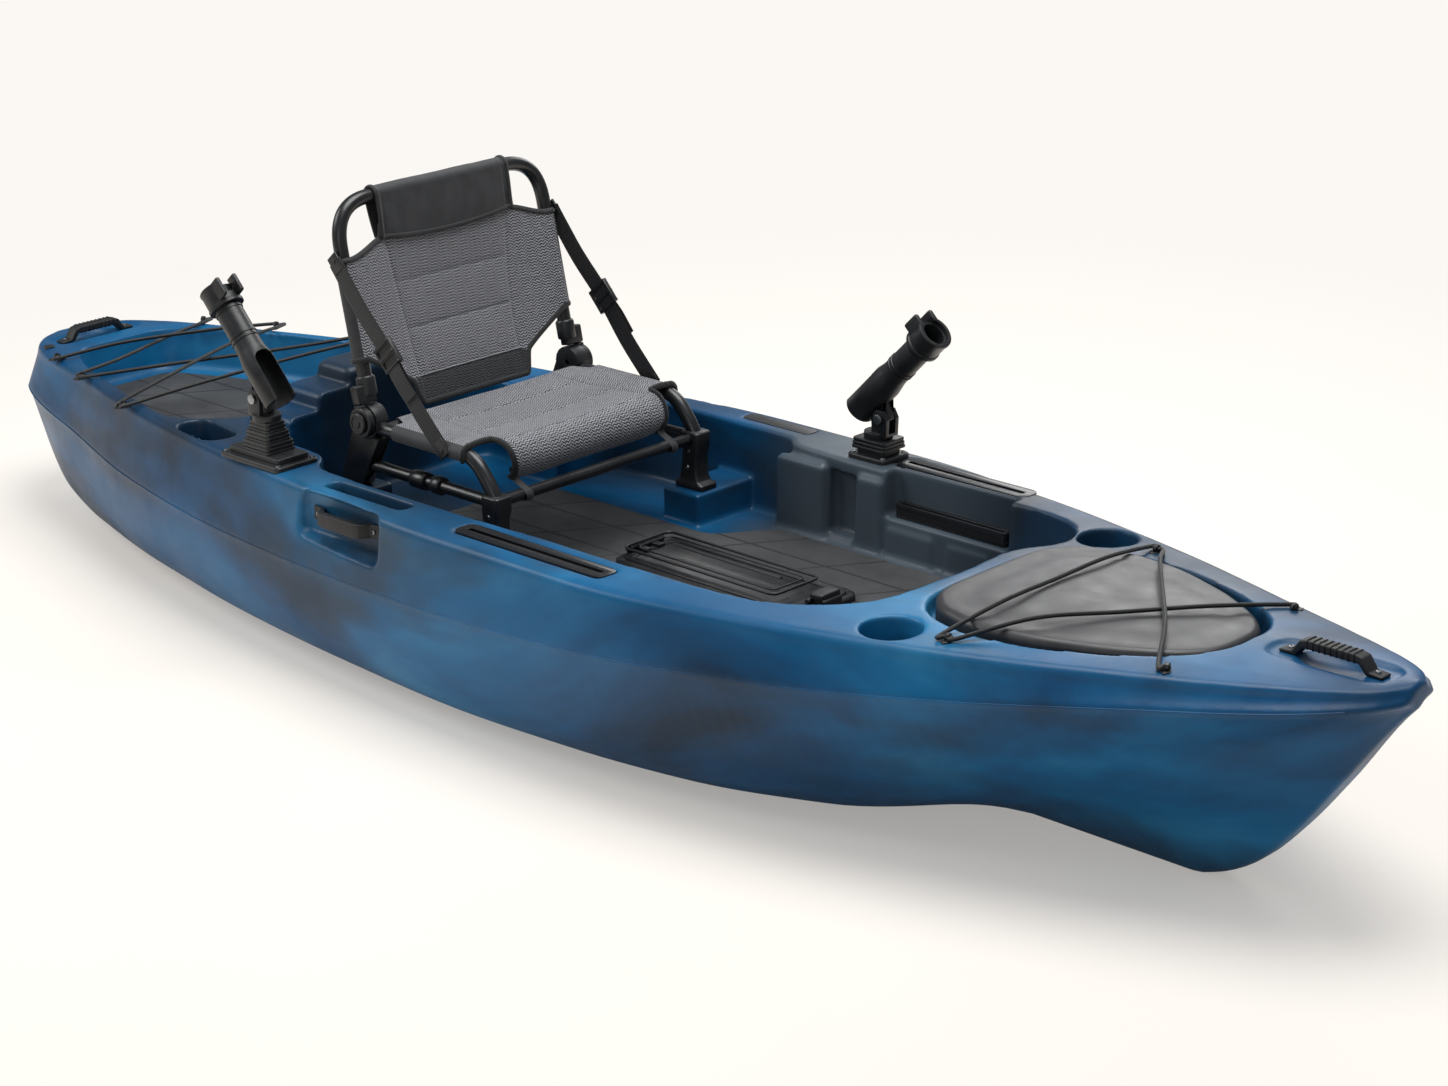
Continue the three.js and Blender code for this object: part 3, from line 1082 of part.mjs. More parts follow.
// Backrest: a bent tube, its knuckles, the cloth panel, the head cover
const backrest = new THREE.Group();
const leanAngle = Math.atan2(SEAT.backLean, SEAT.backHeight);
const backLength = Math.hypot(SEAT.backLean, SEAT.backHeight);
function addBackrest() {
  const { backHalf, backCorner, backStart, railRadius, railHalf, hubRadius, hubThickness } = SEAT;
  const { knuckleRadius, knuckleBreadth, boltRadius } = SEAT;
  const { clothStart, clothTop, clothThickness, crown, headHeight } = SEAT;
  backrest.position.set(SEAT.pivotX, 0, SEAT.pivotZ);
  backrest.rotation.y = -leanAngle;
  kayak.add(backrest);
  const points = [
    V(0, -backHalf, backStart), V(0, -backHalf, backLength),
    V(0, backHalf, backLength), V(0, backHalf, backStart),
  ];
  let frame = solidOf(bentBar(points, backCorner, railRadius, 8, 30));
  const knuckleInner = railHalf + hubThickness / 2 + GAP * 2;
  sides.forEach(([, side]) => {
    const y = side * (knuckleInner + knuckleBreadth / 2);
    const top = backStart + railRadius;
    const low = hubRadius + GAP * 6;
    const disc = solidOf(moved(rod(knuckleRadius, knuckleBreadth, 'y', 16), 0, y, 0));
    const neck = solidOf(boxAt(railRadius * 1.6, knuckleBreadth, top, 0, y, top / 2));
    const inner = backHalf - railRadius * 0.8;
    const bridge = knuckleInner + knuckleBreadth - inner;
    const collarY = side * (inner + bridge / 2);
    const collar = solidOf(boxAt(railRadius * 1.6, bridge, top - low, 0, collarY, (top + low) / 2));
    const hole = solidOf(moved(rod(boltRadius + GAP, knuckleBreadth * 3, 'y', 10), 0, y, 0));
    frame = frame.add(disc).add(neck).add(collar).subtract(hole);
  });
  addPiece(backrest, 'backrest_frame', frame, TUBE_BLACK);

  const width = (backHalf - railRadius - GAP) * 2;
  const top = backLength - clothTop;
  const pull = drawnInShares.back;
  const panel = softPanel(width, top - clothStart, clothThickness, crown, pull, backSeamShares);
  panel.rotateY(Math.PI / 2).rotateX(Math.PI / 2);
  const cloth = addPiece(backrest, 'backrest_cloth', panel, MESH_GREY);
  cloth.position.set(0, 0, (top + clothStart) / 2);

  const near = railRadius + GAP;
  const far = near + clothThickness;
  const over = backLength;
  const low = backLength - headHeight;
  const hairpin = [
    [near, low], [near, over + near * 0.5], [near * 0.5, over + near], [-near * 0.5, over + near],
    [-near, over + near * 0.5], [-near, low], [-far, low], [-far, over + far * 0.5],
    [-far * 0.5, over + far], [far * 0.5, over + far], [far, over + far * 0.5], [far, low],
  ].reverse();
  const headWidth = (backHalf - backCorner) * 2 - near;
  addPiece(backrest, 'backrest_head_cover', upright(hairpin, headWidth, 0), WEB_BLACK);
}

// Webbing straps from the backrest's sides to the seat rails, each with its buckle
function addStraps() {
  const { railHalf, railRadius, railHeight, backHalf, pivotX, pivotZ } = SEAT;
  const up = STRAP.rise;
  sides.forEach(([name, side]) => {
    const stand = railRadius + GAP + STRAP.thickness / 2;
    const topY = side * (backHalf + stand + STRAP.offset);
    const top = V(pivotX - Math.sin(leanAngle) * up, topY, pivotZ + Math.cos(leanAngle) * up);
    const foot = V(STRAP.x, side * (railHalf + stand), railHeight);
    const run = foot.clone().sub(top);
    const strap = new THREE.BoxGeometry(STRAP.width, STRAP.thickness, run.length());
    const buckle = new THREE.BoxGeometry(BUCKLE.width, BUCKLE.thickness, BUCKLE.length);
    const mesh = addPiece(kayak, `seat_strap_${name}`, solidOf(strap).add(solidOf(buckle)), WEB_BLACK);
    mesh.position.copy(top).add(foot).divideScalar(2);
    const along = run.clone().normalize();
    const flat = V(0, 1, 0).addScaledVector(along, -along.y).normalize();
    const axes = new THREE.Matrix4().makeBasis(flat.clone().cross(along), flat, along);
    mesh.quaternion.setFromRotationMatrix(axes);
  });
}

// A rod holder: a stepped base, a turning fork, and a tilting tube with a collar
function addRodHolder(name, place, side) {
  const { baseHeight, baseCorner, plinthInset, plinthHeight, riserTier, tierShrink } = ROD;
  const { riserLength, riserWidth, turret, turretHeight, pivotRise, pivotAhead } = ROD;
  const { ear, earGap, earRadius, bolt, boltHead, tubeRadius, tubeWall, tubeBack, tubeAhead } = ROD;
  const { tubeOffset, slotWidth, slotLength, collarRadius, collarLength, collarSlot } = ROD;
  const y = side * place.y;
  const floor = pocketFloor(place.x, place.y, place.baseLength / 2, place.baseWidth / 4, PAD_EYE.pocket);
  const plan = rectangle(place.baseLength, place.baseWidth, baseCorner, 2);
  deckSeat(placed(plan, place.x, y), floor);
  const holder = new THREE.Group();
  holder.position.set(place.x, y, floor + GAP);
  holder.rotation.z = THREE.MathUtils.degToRad(place.turn);
  kayak.add(holder);

  const plinthLength = place.baseLength - plinthInset * 2;
  const plinth = rectangle(plinthLength, place.baseWidth - plinthInset * 2, baseCorner / 2, 2);
  const baseTop = baseHeight + plinthHeight;
  const tiers = Array.from({ length: place.tiers }, (_, i) => {
    const shape = rectangle(riserLength - i * tierShrink, riserWidth - i * tierShrink, baseCorner / 2, 1);
    return solidOf(plate(shape, baseTop + i * riserTier - GAP, baseTop + (i + 1) * riserTier, GAP * 6));
  });
  const baseSolid = joined([
    solidOf(plate(plan, 0, baseHeight, GAP * 6)),
    solidOf(plate(plinth, baseHeight - GAP, baseTop, GAP * 6)),
    ...tiers,
  ]);
  addPiece(holder, `rod_base_${name}`, baseSolid, PLASTIC_BLACK);

  const turretZ = baseTop + place.tiers * riserTier + GAP;
  const pivotZ = turretZ + turretHeight + pivotRise;
  const breadth = earGap + ear * 2;
  const forkShape = [
    [-earRadius * 0.9, turretZ + turretHeight / 2], [earRadius * 0.9, turretZ + turretHeight / 2],
    [earRadius, pivotZ], [earRadius * 0.5, pivotZ + earRadius * 0.87],
    [-earRadius * 0.5, pivotZ + earRadius * 0.87],
    [-earRadius, pivotZ],
  ].map(([x, z]) => [x + pivotAhead, z]);
  const gapZ = turretZ + turretHeight + pivotRise * 1.1;
  const gap = boxAt(earRadius * 3, earGap + GAP * 2, pivotRise * 2.2, pivotAhead, 0, gapZ);
  const hole = (grow) => solidOf(moved(rod(bolt + grow, breadth * 2, 'y', 10), pivotAhead, 0, pivotZ));
  const fork = solidOf(moved(rod(turret, turretHeight, 'z', 16), 0, 0, turretZ + turretHeight / 2))
    .add(solidOf(upright(forkShape, breadth, 0)).subtract(solidOf(gap)).subtract(hole(GAP)));
  addPiece(holder, `rod_fork_${name}`, fork, PLASTIC_BLACK);
  const boltSolid = solidOf(rod(bolt, breadth + bolt, 'y', 10))
    .add(solidOf(moved(rod(boltHead, bolt, 'y', 10), 0, breadth / 2 + bolt / 2 + GAP, 0)))
    .add(solidOf(moved(rod(boltHead, bolt, 'y', 10), 0, -breadth / 2 - bolt / 2 - GAP, 0)));
  addPiece(holder, `rod_bolt_${name}`, boltSolid, STEEL).position.set(pivotAhead, 0, pivotZ);

  const arm = new THREE.Group();
  arm.position.set(pivotAhead, 0, pivotZ);
  arm.rotation.y = THREE.MathUtils.degToRad(-place.tilt);
  holder.add(arm);
  const length = tubeBack + tubeAhead;
  const middle = (tubeAhead - tubeBack) / 2;
  const tubeLine = (radius, long, x) => solidOf(moved(rod(radius, long, 'x', ROD_SIDES), x, 0, tubeOffset));
  const tab = solidOf(upright([
    [-earRadius * 0.6, -earRadius * 0.7], [earRadius * 0.6, -earRadius * 0.7], [earRadius, 0],
    [earRadius * 1.4, tubeOffset - tubeRadius * 0.6],
    [-earRadius * 1.4, tubeOffset - tubeRadius * 0.6], [-earRadius, 0],
  ], earGap, 0));
  const boltHole = solidOf(rod(bolt + GAP, breadth * 2, 'y', 10));
  const bore = tubeLine(tubeRadius - tubeWall, length + OVERRUN * 2, middle);
  const slotX = slotLength / 2 - tubeBack - OVERRUN;
  const slot = solidOf(boxAt(slotLength, slotWidth, tubeRadius * 2, slotX, 0, tubeOffset + tubeRadius));
  const tube = tubeLine(tubeRadius, length, middle).add(tab).subtract(bore).subtract(slot).subtract(boltHole);
  addPiece(arm, `rod_tube_${name}`, tube, PLASTIC_BLACK);
  const collarX = tubeAhead - collarLength / 2 + tubeWall;
  const mouthX = collarX + collarLength / 2;
  const mouthZ = tubeOffset + collarRadius;
  const collarMouth = solidOf(boxAt(collarLength, collarSlot, collarRadius * 2, mouthX, 0, mouthZ));
  const collarBore = (tubeRadius + GAP) / Math.cos(Math.PI / ROD_SIDES);
  const collar = tubeLine(collarRadius, collarLength, collarX)
    .subtract(tubeLine(collarBore, collarLength * 2, collarX)).subtract(collarMouth);
  addPiece(arm, `rod_collar_${name}`, collar, PLASTIC_BLACK);
}

function addSmallFittings() {
  const { length, width, x, y, depth } = PLATE_POCKET;
  const floor = pocketFloor(x, y, length / 2, width / 2, depth);
  const shape = rectangle(length, width, width / 3, 2);
  deckSeat(placed(shape, x, y), floor);
  const inlay = addPiece(kayak, 'gunwale_plate_port', plate(shape, 0, depth, GAP * 2), PLASTIC_BLACK);
  inlay.position.set(x, y, floor + GAP);
  const plug = DRAIN_PLUG;
  const plugX = plug.inset - HALF_LENGTH;
  const plugFloor = pocketFloor(plugX, plug.y, plug.radius, plug.radius, PAD_EYE.pocket);
  const plugShape = circle(plug.radius, CUP_SIDES / 2);
  deckSeat(placed(plugShape, plugX, -plug.y), plugFloor);
  const piece = addPiece(kayak, 'drain_plug', plate(plugShape, 0, plug.height, GAP * 4), PLASTIC_BLACK);
  piece.position.set(plugX, -plug.y, plugFloor + GAP);
}
addHandles();
addTracks();
addPadEyes();
addMats();
addCentreHatch();
addBowHatch();
addSeatFrame();
addSeatCloth();
addBackrest();
addStraps();
addRodHolder('starboard', STARBOARD_ROD, -1);
addRodHolder('port', PORT_ROD, 1);
addSmallFittings();
addCords();
addHull();
export default kayak;
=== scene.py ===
# %% [markdown]
# A sit-on-top fishing kayak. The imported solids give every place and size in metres,
# with +X to the bow, +Y to port and +Z up. This lesson dresses them: the hull gets
# round moulded edges and marbled plastic, the seat gets its quilted mesh, and each
# small fitting gets its own rounded shape and finish.

# %% Frame and tools
import math

import bmesh
import bpy
import numpy as np
from mathutils import Matrix, Vector, noise
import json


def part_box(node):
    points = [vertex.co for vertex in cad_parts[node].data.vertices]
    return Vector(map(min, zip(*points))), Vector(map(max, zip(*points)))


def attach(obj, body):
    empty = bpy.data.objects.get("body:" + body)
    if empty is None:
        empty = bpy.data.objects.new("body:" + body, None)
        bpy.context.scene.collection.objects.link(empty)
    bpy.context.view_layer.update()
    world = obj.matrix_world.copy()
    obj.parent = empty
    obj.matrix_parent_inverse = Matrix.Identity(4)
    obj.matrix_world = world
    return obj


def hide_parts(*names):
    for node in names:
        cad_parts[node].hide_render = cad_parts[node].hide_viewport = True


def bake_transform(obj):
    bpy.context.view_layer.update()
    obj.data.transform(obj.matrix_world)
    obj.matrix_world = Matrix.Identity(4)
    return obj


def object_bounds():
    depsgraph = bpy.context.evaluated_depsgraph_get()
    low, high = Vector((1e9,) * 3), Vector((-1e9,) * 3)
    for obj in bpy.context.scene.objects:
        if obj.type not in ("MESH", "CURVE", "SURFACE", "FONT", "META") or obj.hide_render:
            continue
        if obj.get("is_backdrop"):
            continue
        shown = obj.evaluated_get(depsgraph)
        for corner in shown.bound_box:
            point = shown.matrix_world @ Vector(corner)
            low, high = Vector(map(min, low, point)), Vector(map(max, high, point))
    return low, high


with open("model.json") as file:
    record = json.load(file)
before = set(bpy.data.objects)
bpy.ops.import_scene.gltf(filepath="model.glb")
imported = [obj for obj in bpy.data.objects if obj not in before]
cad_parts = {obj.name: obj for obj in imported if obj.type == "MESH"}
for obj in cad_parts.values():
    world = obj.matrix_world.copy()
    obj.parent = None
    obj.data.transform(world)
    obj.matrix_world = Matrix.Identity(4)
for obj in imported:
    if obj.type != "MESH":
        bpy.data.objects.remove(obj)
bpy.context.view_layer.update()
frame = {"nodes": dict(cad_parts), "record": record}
SIDES = (("starboard", -1), ("port", 1))
print("solids loaded:", len(frame["nodes"]))


def in_scene(name, data):
    made = bpy.data.objects.new(name, data)
    bpy.context.scene.collection.objects.link(made)
    return made


def standing(place, *axes):
    """The matrix that moves a piece's own axes to these, at this place."""
    return Matrix.Translation(place) @ Matrix(axes).transposed().to_4x4()


def pick(*pieces):
    bpy.ops.object.select_all(action="DESELECT")
    for piece in pieces:
        piece.select_set(True)
    if pieces:
        bpy.context.view_layer.objects.active = pieces[0]


# %% [markdown]
# The photograph was taken from the starboard bow with a long lens. Its place and
# turn were fitted to points of known size, so the camera is set by its own axes
# instead of by aiming it at the middle of the boat.

# %% Camera
EYE = Vector((3.5963, -3.4906, 1.9951))
YAW, PITCH, CAMERA_ROLL = 2.335102, 0.341746, -0.0136945
FOCAL_PIXELS, IMAGE_WIDTH, SENSOR = 3150.02, 1448, 36.0

ahead = Vector((math.cos(YAW) * math.cos(PITCH), math.sin(YAW) * math.cos(PITCH), -math.sin(PITCH)))
level = ahead.cross(Vector((0, 0, 1))).normalized()
upward = level.cross(ahead)
right = level * math.cos(CAMERA_ROLL) + upward * math.sin(CAMERA_ROLL)
top = -level * math.sin(CAMERA_ROLL) + upward * math.cos(CAMERA_ROLL)
lens = bpy.data.cameras.new("photo_lens")
lens.sensor_width = SENSOR
lens.lens = FOCAL_PIXELS / IMAGE_WIDTH * SENSOR
lens.clip_end = 100
camera = in_scene("photo_camera", lens)
camera.matrix_world = standing(EYE, right, top, -ahead)
bpy.context.scene.camera = camera
bpy.context.scene.view_settings.view_transform = "Standard"
print("lens:", round(lens.lens, 1), "mm")


# %% [markdown]
# Materials are node trees. One function adds a node, sets its options, fills its
# inputs and returns it. An input is filled by a value, by a socket, or by a node,
# whose first output is then used. Colours are written as sRGB hex values, as they
# are read from a picture, and another function turns them to the linear values
# that light is worked out in.

# %% Material helpers
def linear(code, alpha=1.0):
    parts = [int(code[i:i + 2], 16) / 255 for i in (1, 3, 5)]
    return [c / 12.92 if c <= 0.04045 else ((c + 0.055) / 1.055) ** 2.4 for c in parts] + [alpha]


def fill(node, inputs):
    for key, value in (inputs if isinstance(inputs, dict) else dict(enumerate(inputs))).items():
        if isinstance(value, bpy.types.Node):
            value = value.outputs[0]
        if isinstance(value, bpy.types.NodeSocket):
            node.id_data.links.new(value, node.inputs[key])
        else:
            node.inputs[key].default_value = value


def add(tree, kind, inputs=(), stops=(), **settings):
    node = tree.nodes.new("ShaderNode" + kind)
    for name, value in settings.items():
        setattr(node, name, value)
    fill(node, inputs)
    if stops:
        bands = node.color_ramp.elements
        while len(bands) < len(stops):
            bands.new(1.0)
        for band, (place, colour) in zip(bands, stops):
            band.position = place
            band.color = linear(colour) if isinstance(colour, str) else (colour, colour, colour, 1)
    return node


def new_material(name):
    made = bpy.data.materials.new(name)
    made.use_nodes = True
    tree = made.node_tree
    tree.nodes.clear()
    shader = add(tree, "BsdfPrincipled")
    add(tree, "OutputMaterial", {"Surface": shader})
    place = add(tree, "TexCoord").outputs
    return made, tree, shader, place["Object"], place["UV"]


print("a mid grey in linear light:", round(linear("#808080")[0], 3))

# %% [markdown]
# The hull is linear polyethylene, rotomoulded. Two or three coloured powders are
# dropped into the hot mould, and they melt into soft swirls that run with the boat.
# So the colour is a stretched, bent noise between blues and a smoky near-black,
# with one ashen cloud at the port wall. The skin copies a sandblasted mould: a
# satin sheen with a very fine orange peel, drawn at about three millimetres.

# %% Hull plastic
hull_plastic, tree, shader, here, _ = new_material("rotomoulded_polyethylene")
stretched = add(tree, "Mapping", {"Vector": here, "Rotation": (0.25, 0.5, 0.2), "Scale": (0.62, 1.0, 1.35)})
swirl = add(tree, "TexNoise", {
    "Vector": stretched, "Scale": 2.1, "Detail": 5.0, "Roughness": 0.55, "Distortion": 0.55})
broad = add(tree, "TexNoise", {
    "Vector": stretched, "Scale": 1.35, "Detail": 4.0, "Roughness": 0.55, "Distortion": 0.7})
cloud_place = add(tree, "VectorMath", (here, (0.3, 0.33, 0.3)), operation="SUBTRACT")
cloud_reach = add(tree, "VectorMath", (cloud_place, (3.4, 4.0, 3.0)), operation="MULTIPLY")
cloud_far = add(tree, "VectorMath", (cloud_reach,), operation="LENGTH").outputs["Value"]
cloud_near = add(tree, "MapRange", (cloud_far, 0.35, 1.15, -0.24, 0.0))
along = add(tree, "SeparateXYZ", (here,))
clear_aft = add(tree, "MapRange", (along, -1.2, -0.2, 0.08, 0.0))
cleared = add(tree, "Math", (broad, clear_aft), operation="ADD")
smoky = add(tree, "Math", (cleared, cloud_near), operation="ADD")
blues = add(tree, "ValToRGB", (swirl,), (
    (0.34, "#01243d"), (0.47, "#03456f"), (0.58, "#065b89"), (0.72, "#2878a5")))
smoke = add(tree, "ValToRGB", (smoky,), ((0.34, 1.0), (0.44, 0.6), (0.52, 0.0)))
pale_near = add(tree, "MapRange", (cloud_far, 0.5, 1.1, 1.0, 0.0))
ash = add(tree, "Mix", {"Factor": pale_near, 6: linear("#1d2833"), 7: linear("#48535c")}, data_type="RGBA")
marbled = add(tree, "Mix", {"Factor": smoke, 6: blues, 7: ash.outputs[2]}, data_type="RGBA")
peel = add(tree, "TexNoise", {"Vector": here, "Scale": 320.0, "Detail": 2.0})
wear = add(tree, "TexNoise", {"Vector": here, "Scale": 9.0, "Detail": 4.0, "Roughness": 0.6})
fill(shader, {
    "Base Color": marbled.outputs[2], "IOR": 1.51, "Specular IOR Level": 0.3,
    "Roughness": add(tree, "MapRange", (wear, 0.3, 0.7, 0.33, 0.46)),
    "Normal": add(tree, "Bump", {"Height": peel, "Strength": 0.12, "Distance": 0.0006})})
print("hull plastic:", len(tree.nodes), "nodes")


# %% [markdown]
# The hard parts and the tubes share one build: a soft cloud of two tones that also
# moves the gloss, and a fine grain that breaks up the highlights. Handles, hatches,
# feet and rod holders are black glass-filled nylon or ABS, whose mould leaves a
# grain near one millimetre. The seat tubes are aluminium with a black powder coat:
# smooth, satin, with a hint of orange peel from the powder that flowed in the oven.

# %% Moulded plastic and powder coat
def grained(name, low, high, gloss, grain, strength, ior=1.5, cloud=(22.0, 4.0, 0.6), bands=(0.35, 0.68),
            fine=2.0):
    made, tree, shader, here, _ = new_material(name)
    scale, detail, rough = cloud
    soft = add(tree, "TexNoise", {"Vector": here, "Scale": scale, "Detail": detail, "Roughness": rough})
    skin = add(tree, "TexNoise", {"Vector": here, "Scale": grain, "Detail": fine})
    fill(shader, {
        "Base Color": add(tree, "ValToRGB", (soft,), ((bands[0], low), (bands[1], high))),
        "Roughness": add(tree, "MapRange", (soft, 0.3, 0.7, *gloss)), "IOR": ior,
        "Normal": add(tree, "Bump", {"Height": skin, "Strength": strength, "Distance": 0.0004})})
    return made


black_nylon = grained("glass_filled_nylon", "#121315", "#1f2123", (0.34, 0.48), 900.0, 0.25)
cover_skin = grained("moulded_cover_rubber", "#29292b", "#363638", (0.36, 0.50), 700.0, 0.22)
seal_skin = grained("seal_rubber_foam", "#0e0e0f", "#18181a", (0.69, 0.83), 1200.0, 0.3)
grip_skin = grained("overmoulded_grip_rubber", "#101112", "#1b1c1e", (0.49, 0.63), 1500.0, 0.35)
powder_coat = grained("powder_coated_aluminium", "#141517", "#1c1d1f", (0.24, 0.36), 420.0, 0.12, 1.52,
                      (14.0, 3.0, 0.5), (0.35, 0.65), 1.0)
print("materials so far:", len(bpy.data.materials))

# %% [markdown]
# The tracks are extruded and anodised aluminium, so fine draw lines run along them.
# Screws, bolts and pins are stainless steel, bead blasted or turned: a bare metal,
# whose colour sits in the reflection.

# %% Bare and anodised metal
anodised, tree, shader, here, _ = new_material("anodised_extruded_aluminium")
draw_lines = add(tree, "Mapping", {"Vector": here, "Scale": (3.0, 900.0, 900.0)})
lines = add(tree, "TexNoise", {"Vector": draw_lines, "Scale": 1.0, "Detail": 2.0})
fill(shader, {
    "Base Color": add(tree, "ValToRGB", (lines,), ((0.3, "#111214"), (0.7, "#212225"))),
    "Roughness": add(tree, "MapRange", (lines, 0.3, 0.7, 0.22, 0.36)),
    "Normal": add(tree, "Bump", {"Height": lines, "Strength": 0.15, "Distance": 0.0002})})

stainless, tree, shader, here, _ = new_material("stainless_steel")
blasted = add(tree, "TexNoise", {"Vector": here, "Scale": 600.0, "Detail": 3.0})
fill(shader, {
    "Base Color": add(tree, "ValToRGB", (blasted,), ((0.3, "#7d8083"), (0.7, "#a3a6a8"))),
    "Roughness": add(tree, "MapRange", (blasted, 0.3, 0.7, 0.25, 0.42)), "Metallic": 1.0})
print("materials so far:", len(bpy.data.materials))

# %% [markdown]
# The mats are closed-cell EVA foam. A router cuts lines into them: long planks,
# with slanting cuts between. The foam is matt and slightly dusty, with cells of
# about a millimetre.

# %% Foam mat
foam, tree, shader, here, _ = new_material("eva_foam_mat")
plank = add(tree, "TexWave", {"Vector": here, "Scale": 3.4}, bands_direction="Y", wave_profile="SAW")
slanting = add(tree, "Mapping", {"Vector": here, "Rotation": (0, 0, 0.6)})
slant = add(tree, "TexWave", {"Vector": slanting, "Scale": 2.2}, bands_direction="X", wave_profile="SAW")
cuts = [add(tree, "Math", (wave.outputs["Fac"], width), operation="LESS_THAN")
        for wave, width in ((plank, 0.06), (slant, 0.035))]
cut = add(tree, "Math", cuts, operation="MAXIMUM")
cells = add(tree, "TexVoronoi", {"Vector": here, "Scale": 900.0})
dust = add(tree, "TexNoise", {"Vector": here, "Scale": 7.0, "Detail": 5.0, "Roughness": 0.65})
tone = add(tree, "ValToRGB", (dust,), ((0.32, "#2d2f31"), (0.68, "#434547")))
cut_tone = add(tree, "Mix", {"Factor": cut, 6: tone, 7: linear("#1b1c1e")}, data_type="RGBA")
height = add(tree, "Math", (cells, cut), operation="SUBTRACT")
fill(shader, {
    "Base Color": cut_tone.outputs[2], "Roughness": 0.72,
    "Normal": add(tree, "Bump", {"Height": height, "Strength": 0.35, "Distance": 0.0012})})
print("foam mat:", len(tree.nodes), "nodes")


# %% [markdown]
# The seat is a warp-knitted polyester mesh, laminated over foam. Its threads lie in
# short slanting stitches that lean one way and then the other, which gives rows
# of small diamonds about 4 mm long. The pieces carry a UV map in metres, so that
# the rows follow the cloth and keep their size.

# %% Knitted seat mesh
def knitted(name, dark, light, rough):
    made, tree, shader, _, flat = new_material(name)
    waver = add(tree, "TexNoise", {"Vector": flat, "Scale": 130.0, "Detail": 1.0}).outputs["Color"]
    shift = add(tree, "VectorMath", (waver, (0.0022, 0.0022, 0.0)), operation="MULTIPLY")
    wavy = add(tree, "VectorMath", (flat, shift), operation="ADD")
    leaning = []
    for lean in (0.55, -0.55):
        turned_place = add(tree, "Mapping", {"Vector": wavy, "Rotation": (0, 0, lean)})
        stitch = add(tree, "TexWave", {"Vector": turned_place, "Scale": 72.0}, bands_direction="Y")
        leaning.append(stitch.outputs["Fac"])
    rows = add(tree, "TexWave", {"Vector": wavy, "Scale": 31.0}, bands_direction="X", wave_profile="TRI")
    row = add(tree, "Math", (rows.outputs["Fac"], 0.5), operation="GREATER_THAN")
    weave = add(tree, "Mix", {"Factor": row, 2: leaning[0], 3: leaning[1]})
    pile = add(tree, "TexNoise", {"Vector": flat, "Scale": 90.0, "Detail": 3.0})
    threads = add(tree, "Math", (weave, 0.42), operation="MULTIPLY")
    shade = add(tree, "Math", (pile, 0.16, threads), operation="MULTIPLY_ADD")
    fill(shader, {
        "Base Color": add(tree, "ValToRGB", (shade,), ((0.10, dark), (0.48, light))),
        "Normal": add(tree, "Bump", {"Height": weave, "Strength": 0.8, "Distance": 0.0018}),
        "Roughness": rough, "Sheen Weight": 0.25, "Sheen Roughness": 0.4})
    return made


seat_mesh = knitted("warp_knit_seat_mesh", "#1b1c1f", "#a3a4aa", 0.8)
band_mesh = knitted("lumbar_band_mesh", "#141517", "#34353a", 0.85)
print("materials so far:", len(bpy.data.materials))


# %% [markdown]
# The head cover, the piping and the edging are a dense polyester cloth, woven
# plain. The straps are woven webbing, whose thick ribs run across, and the deck
# lines are elastic cord in a braided sheath. The threads are drawn two to four
# times as coarse as real ones, or they would not show.

# %% Plain cloth, webbing and braid
def woven(name, dark, light, across, along, strength, rough, use_map=True):
    made, tree, shader, here, flat = new_material(name)
    weft, warp = (add(tree, "TexWave", {
        "Vector": flat if use_map else here, "Scale": scale, "Distortion": 0.4, "Detail": 1.0},
        bands_direction=axis).outputs["Fac"] for scale, axis in ((across, "X"), (along, "Y")))
    weave = add(tree, "Math", (weft, warp), operation="MULTIPLY")
    cloud = add(tree, "TexNoise", {"Vector": here, "Scale": 30.0, "Detail": 4.0})
    mixed = add(tree, "Math", (weave, cloud), operation="ADD")
    fill(shader, {
        "Base Color": add(tree, "ValToRGB", (mixed,), ((0.35, dark), (1.0, light))),
        "Normal": add(tree, "Bump", {"Height": weave, "Strength": strength, "Distance": 0.0006}),
        "Roughness": rough, "Sheen Weight": 0.15})
    return made


black_cloth = woven("plain_woven_polyester", "#161719", "#303236", 160.0, 160.0, 0.35, 0.62)
piping_cloth = woven("bias_binding", "#0f1011", "#1f2022", 150.0, 150.0, 0.3, 0.7, use_map=False)
webbing = woven("polyester_webbing", "#08090a", "#17181a", 60.0, 150.0, 0.6, 0.65)
braid = woven("braided_cord_sheath", "#060607", "#121315", 110.0, 110.0, 0.5, 0.6)
thread_grey = woven("sewing_thread", "#8b8d92", "#b4b6ba", 400.0, 150.0, 0.4, 0.6)
print("materials:", len(bpy.data.materials))

# %% [markdown]
# The hull is a loft: a row of cross-sections from stern to bow. Each section comes
# from a few numbers that run smoothly along the boat, such as the breadth and the
# height of the deck edge, of the parting seam and of the chine. The tables repeat
# those of the solid as shares of the half length, the half beam and the height, and
# a monotone cubic runs through them without overshoot. A fine loft in code is used
# here, because a grid pushed about by hand would never be this fair.

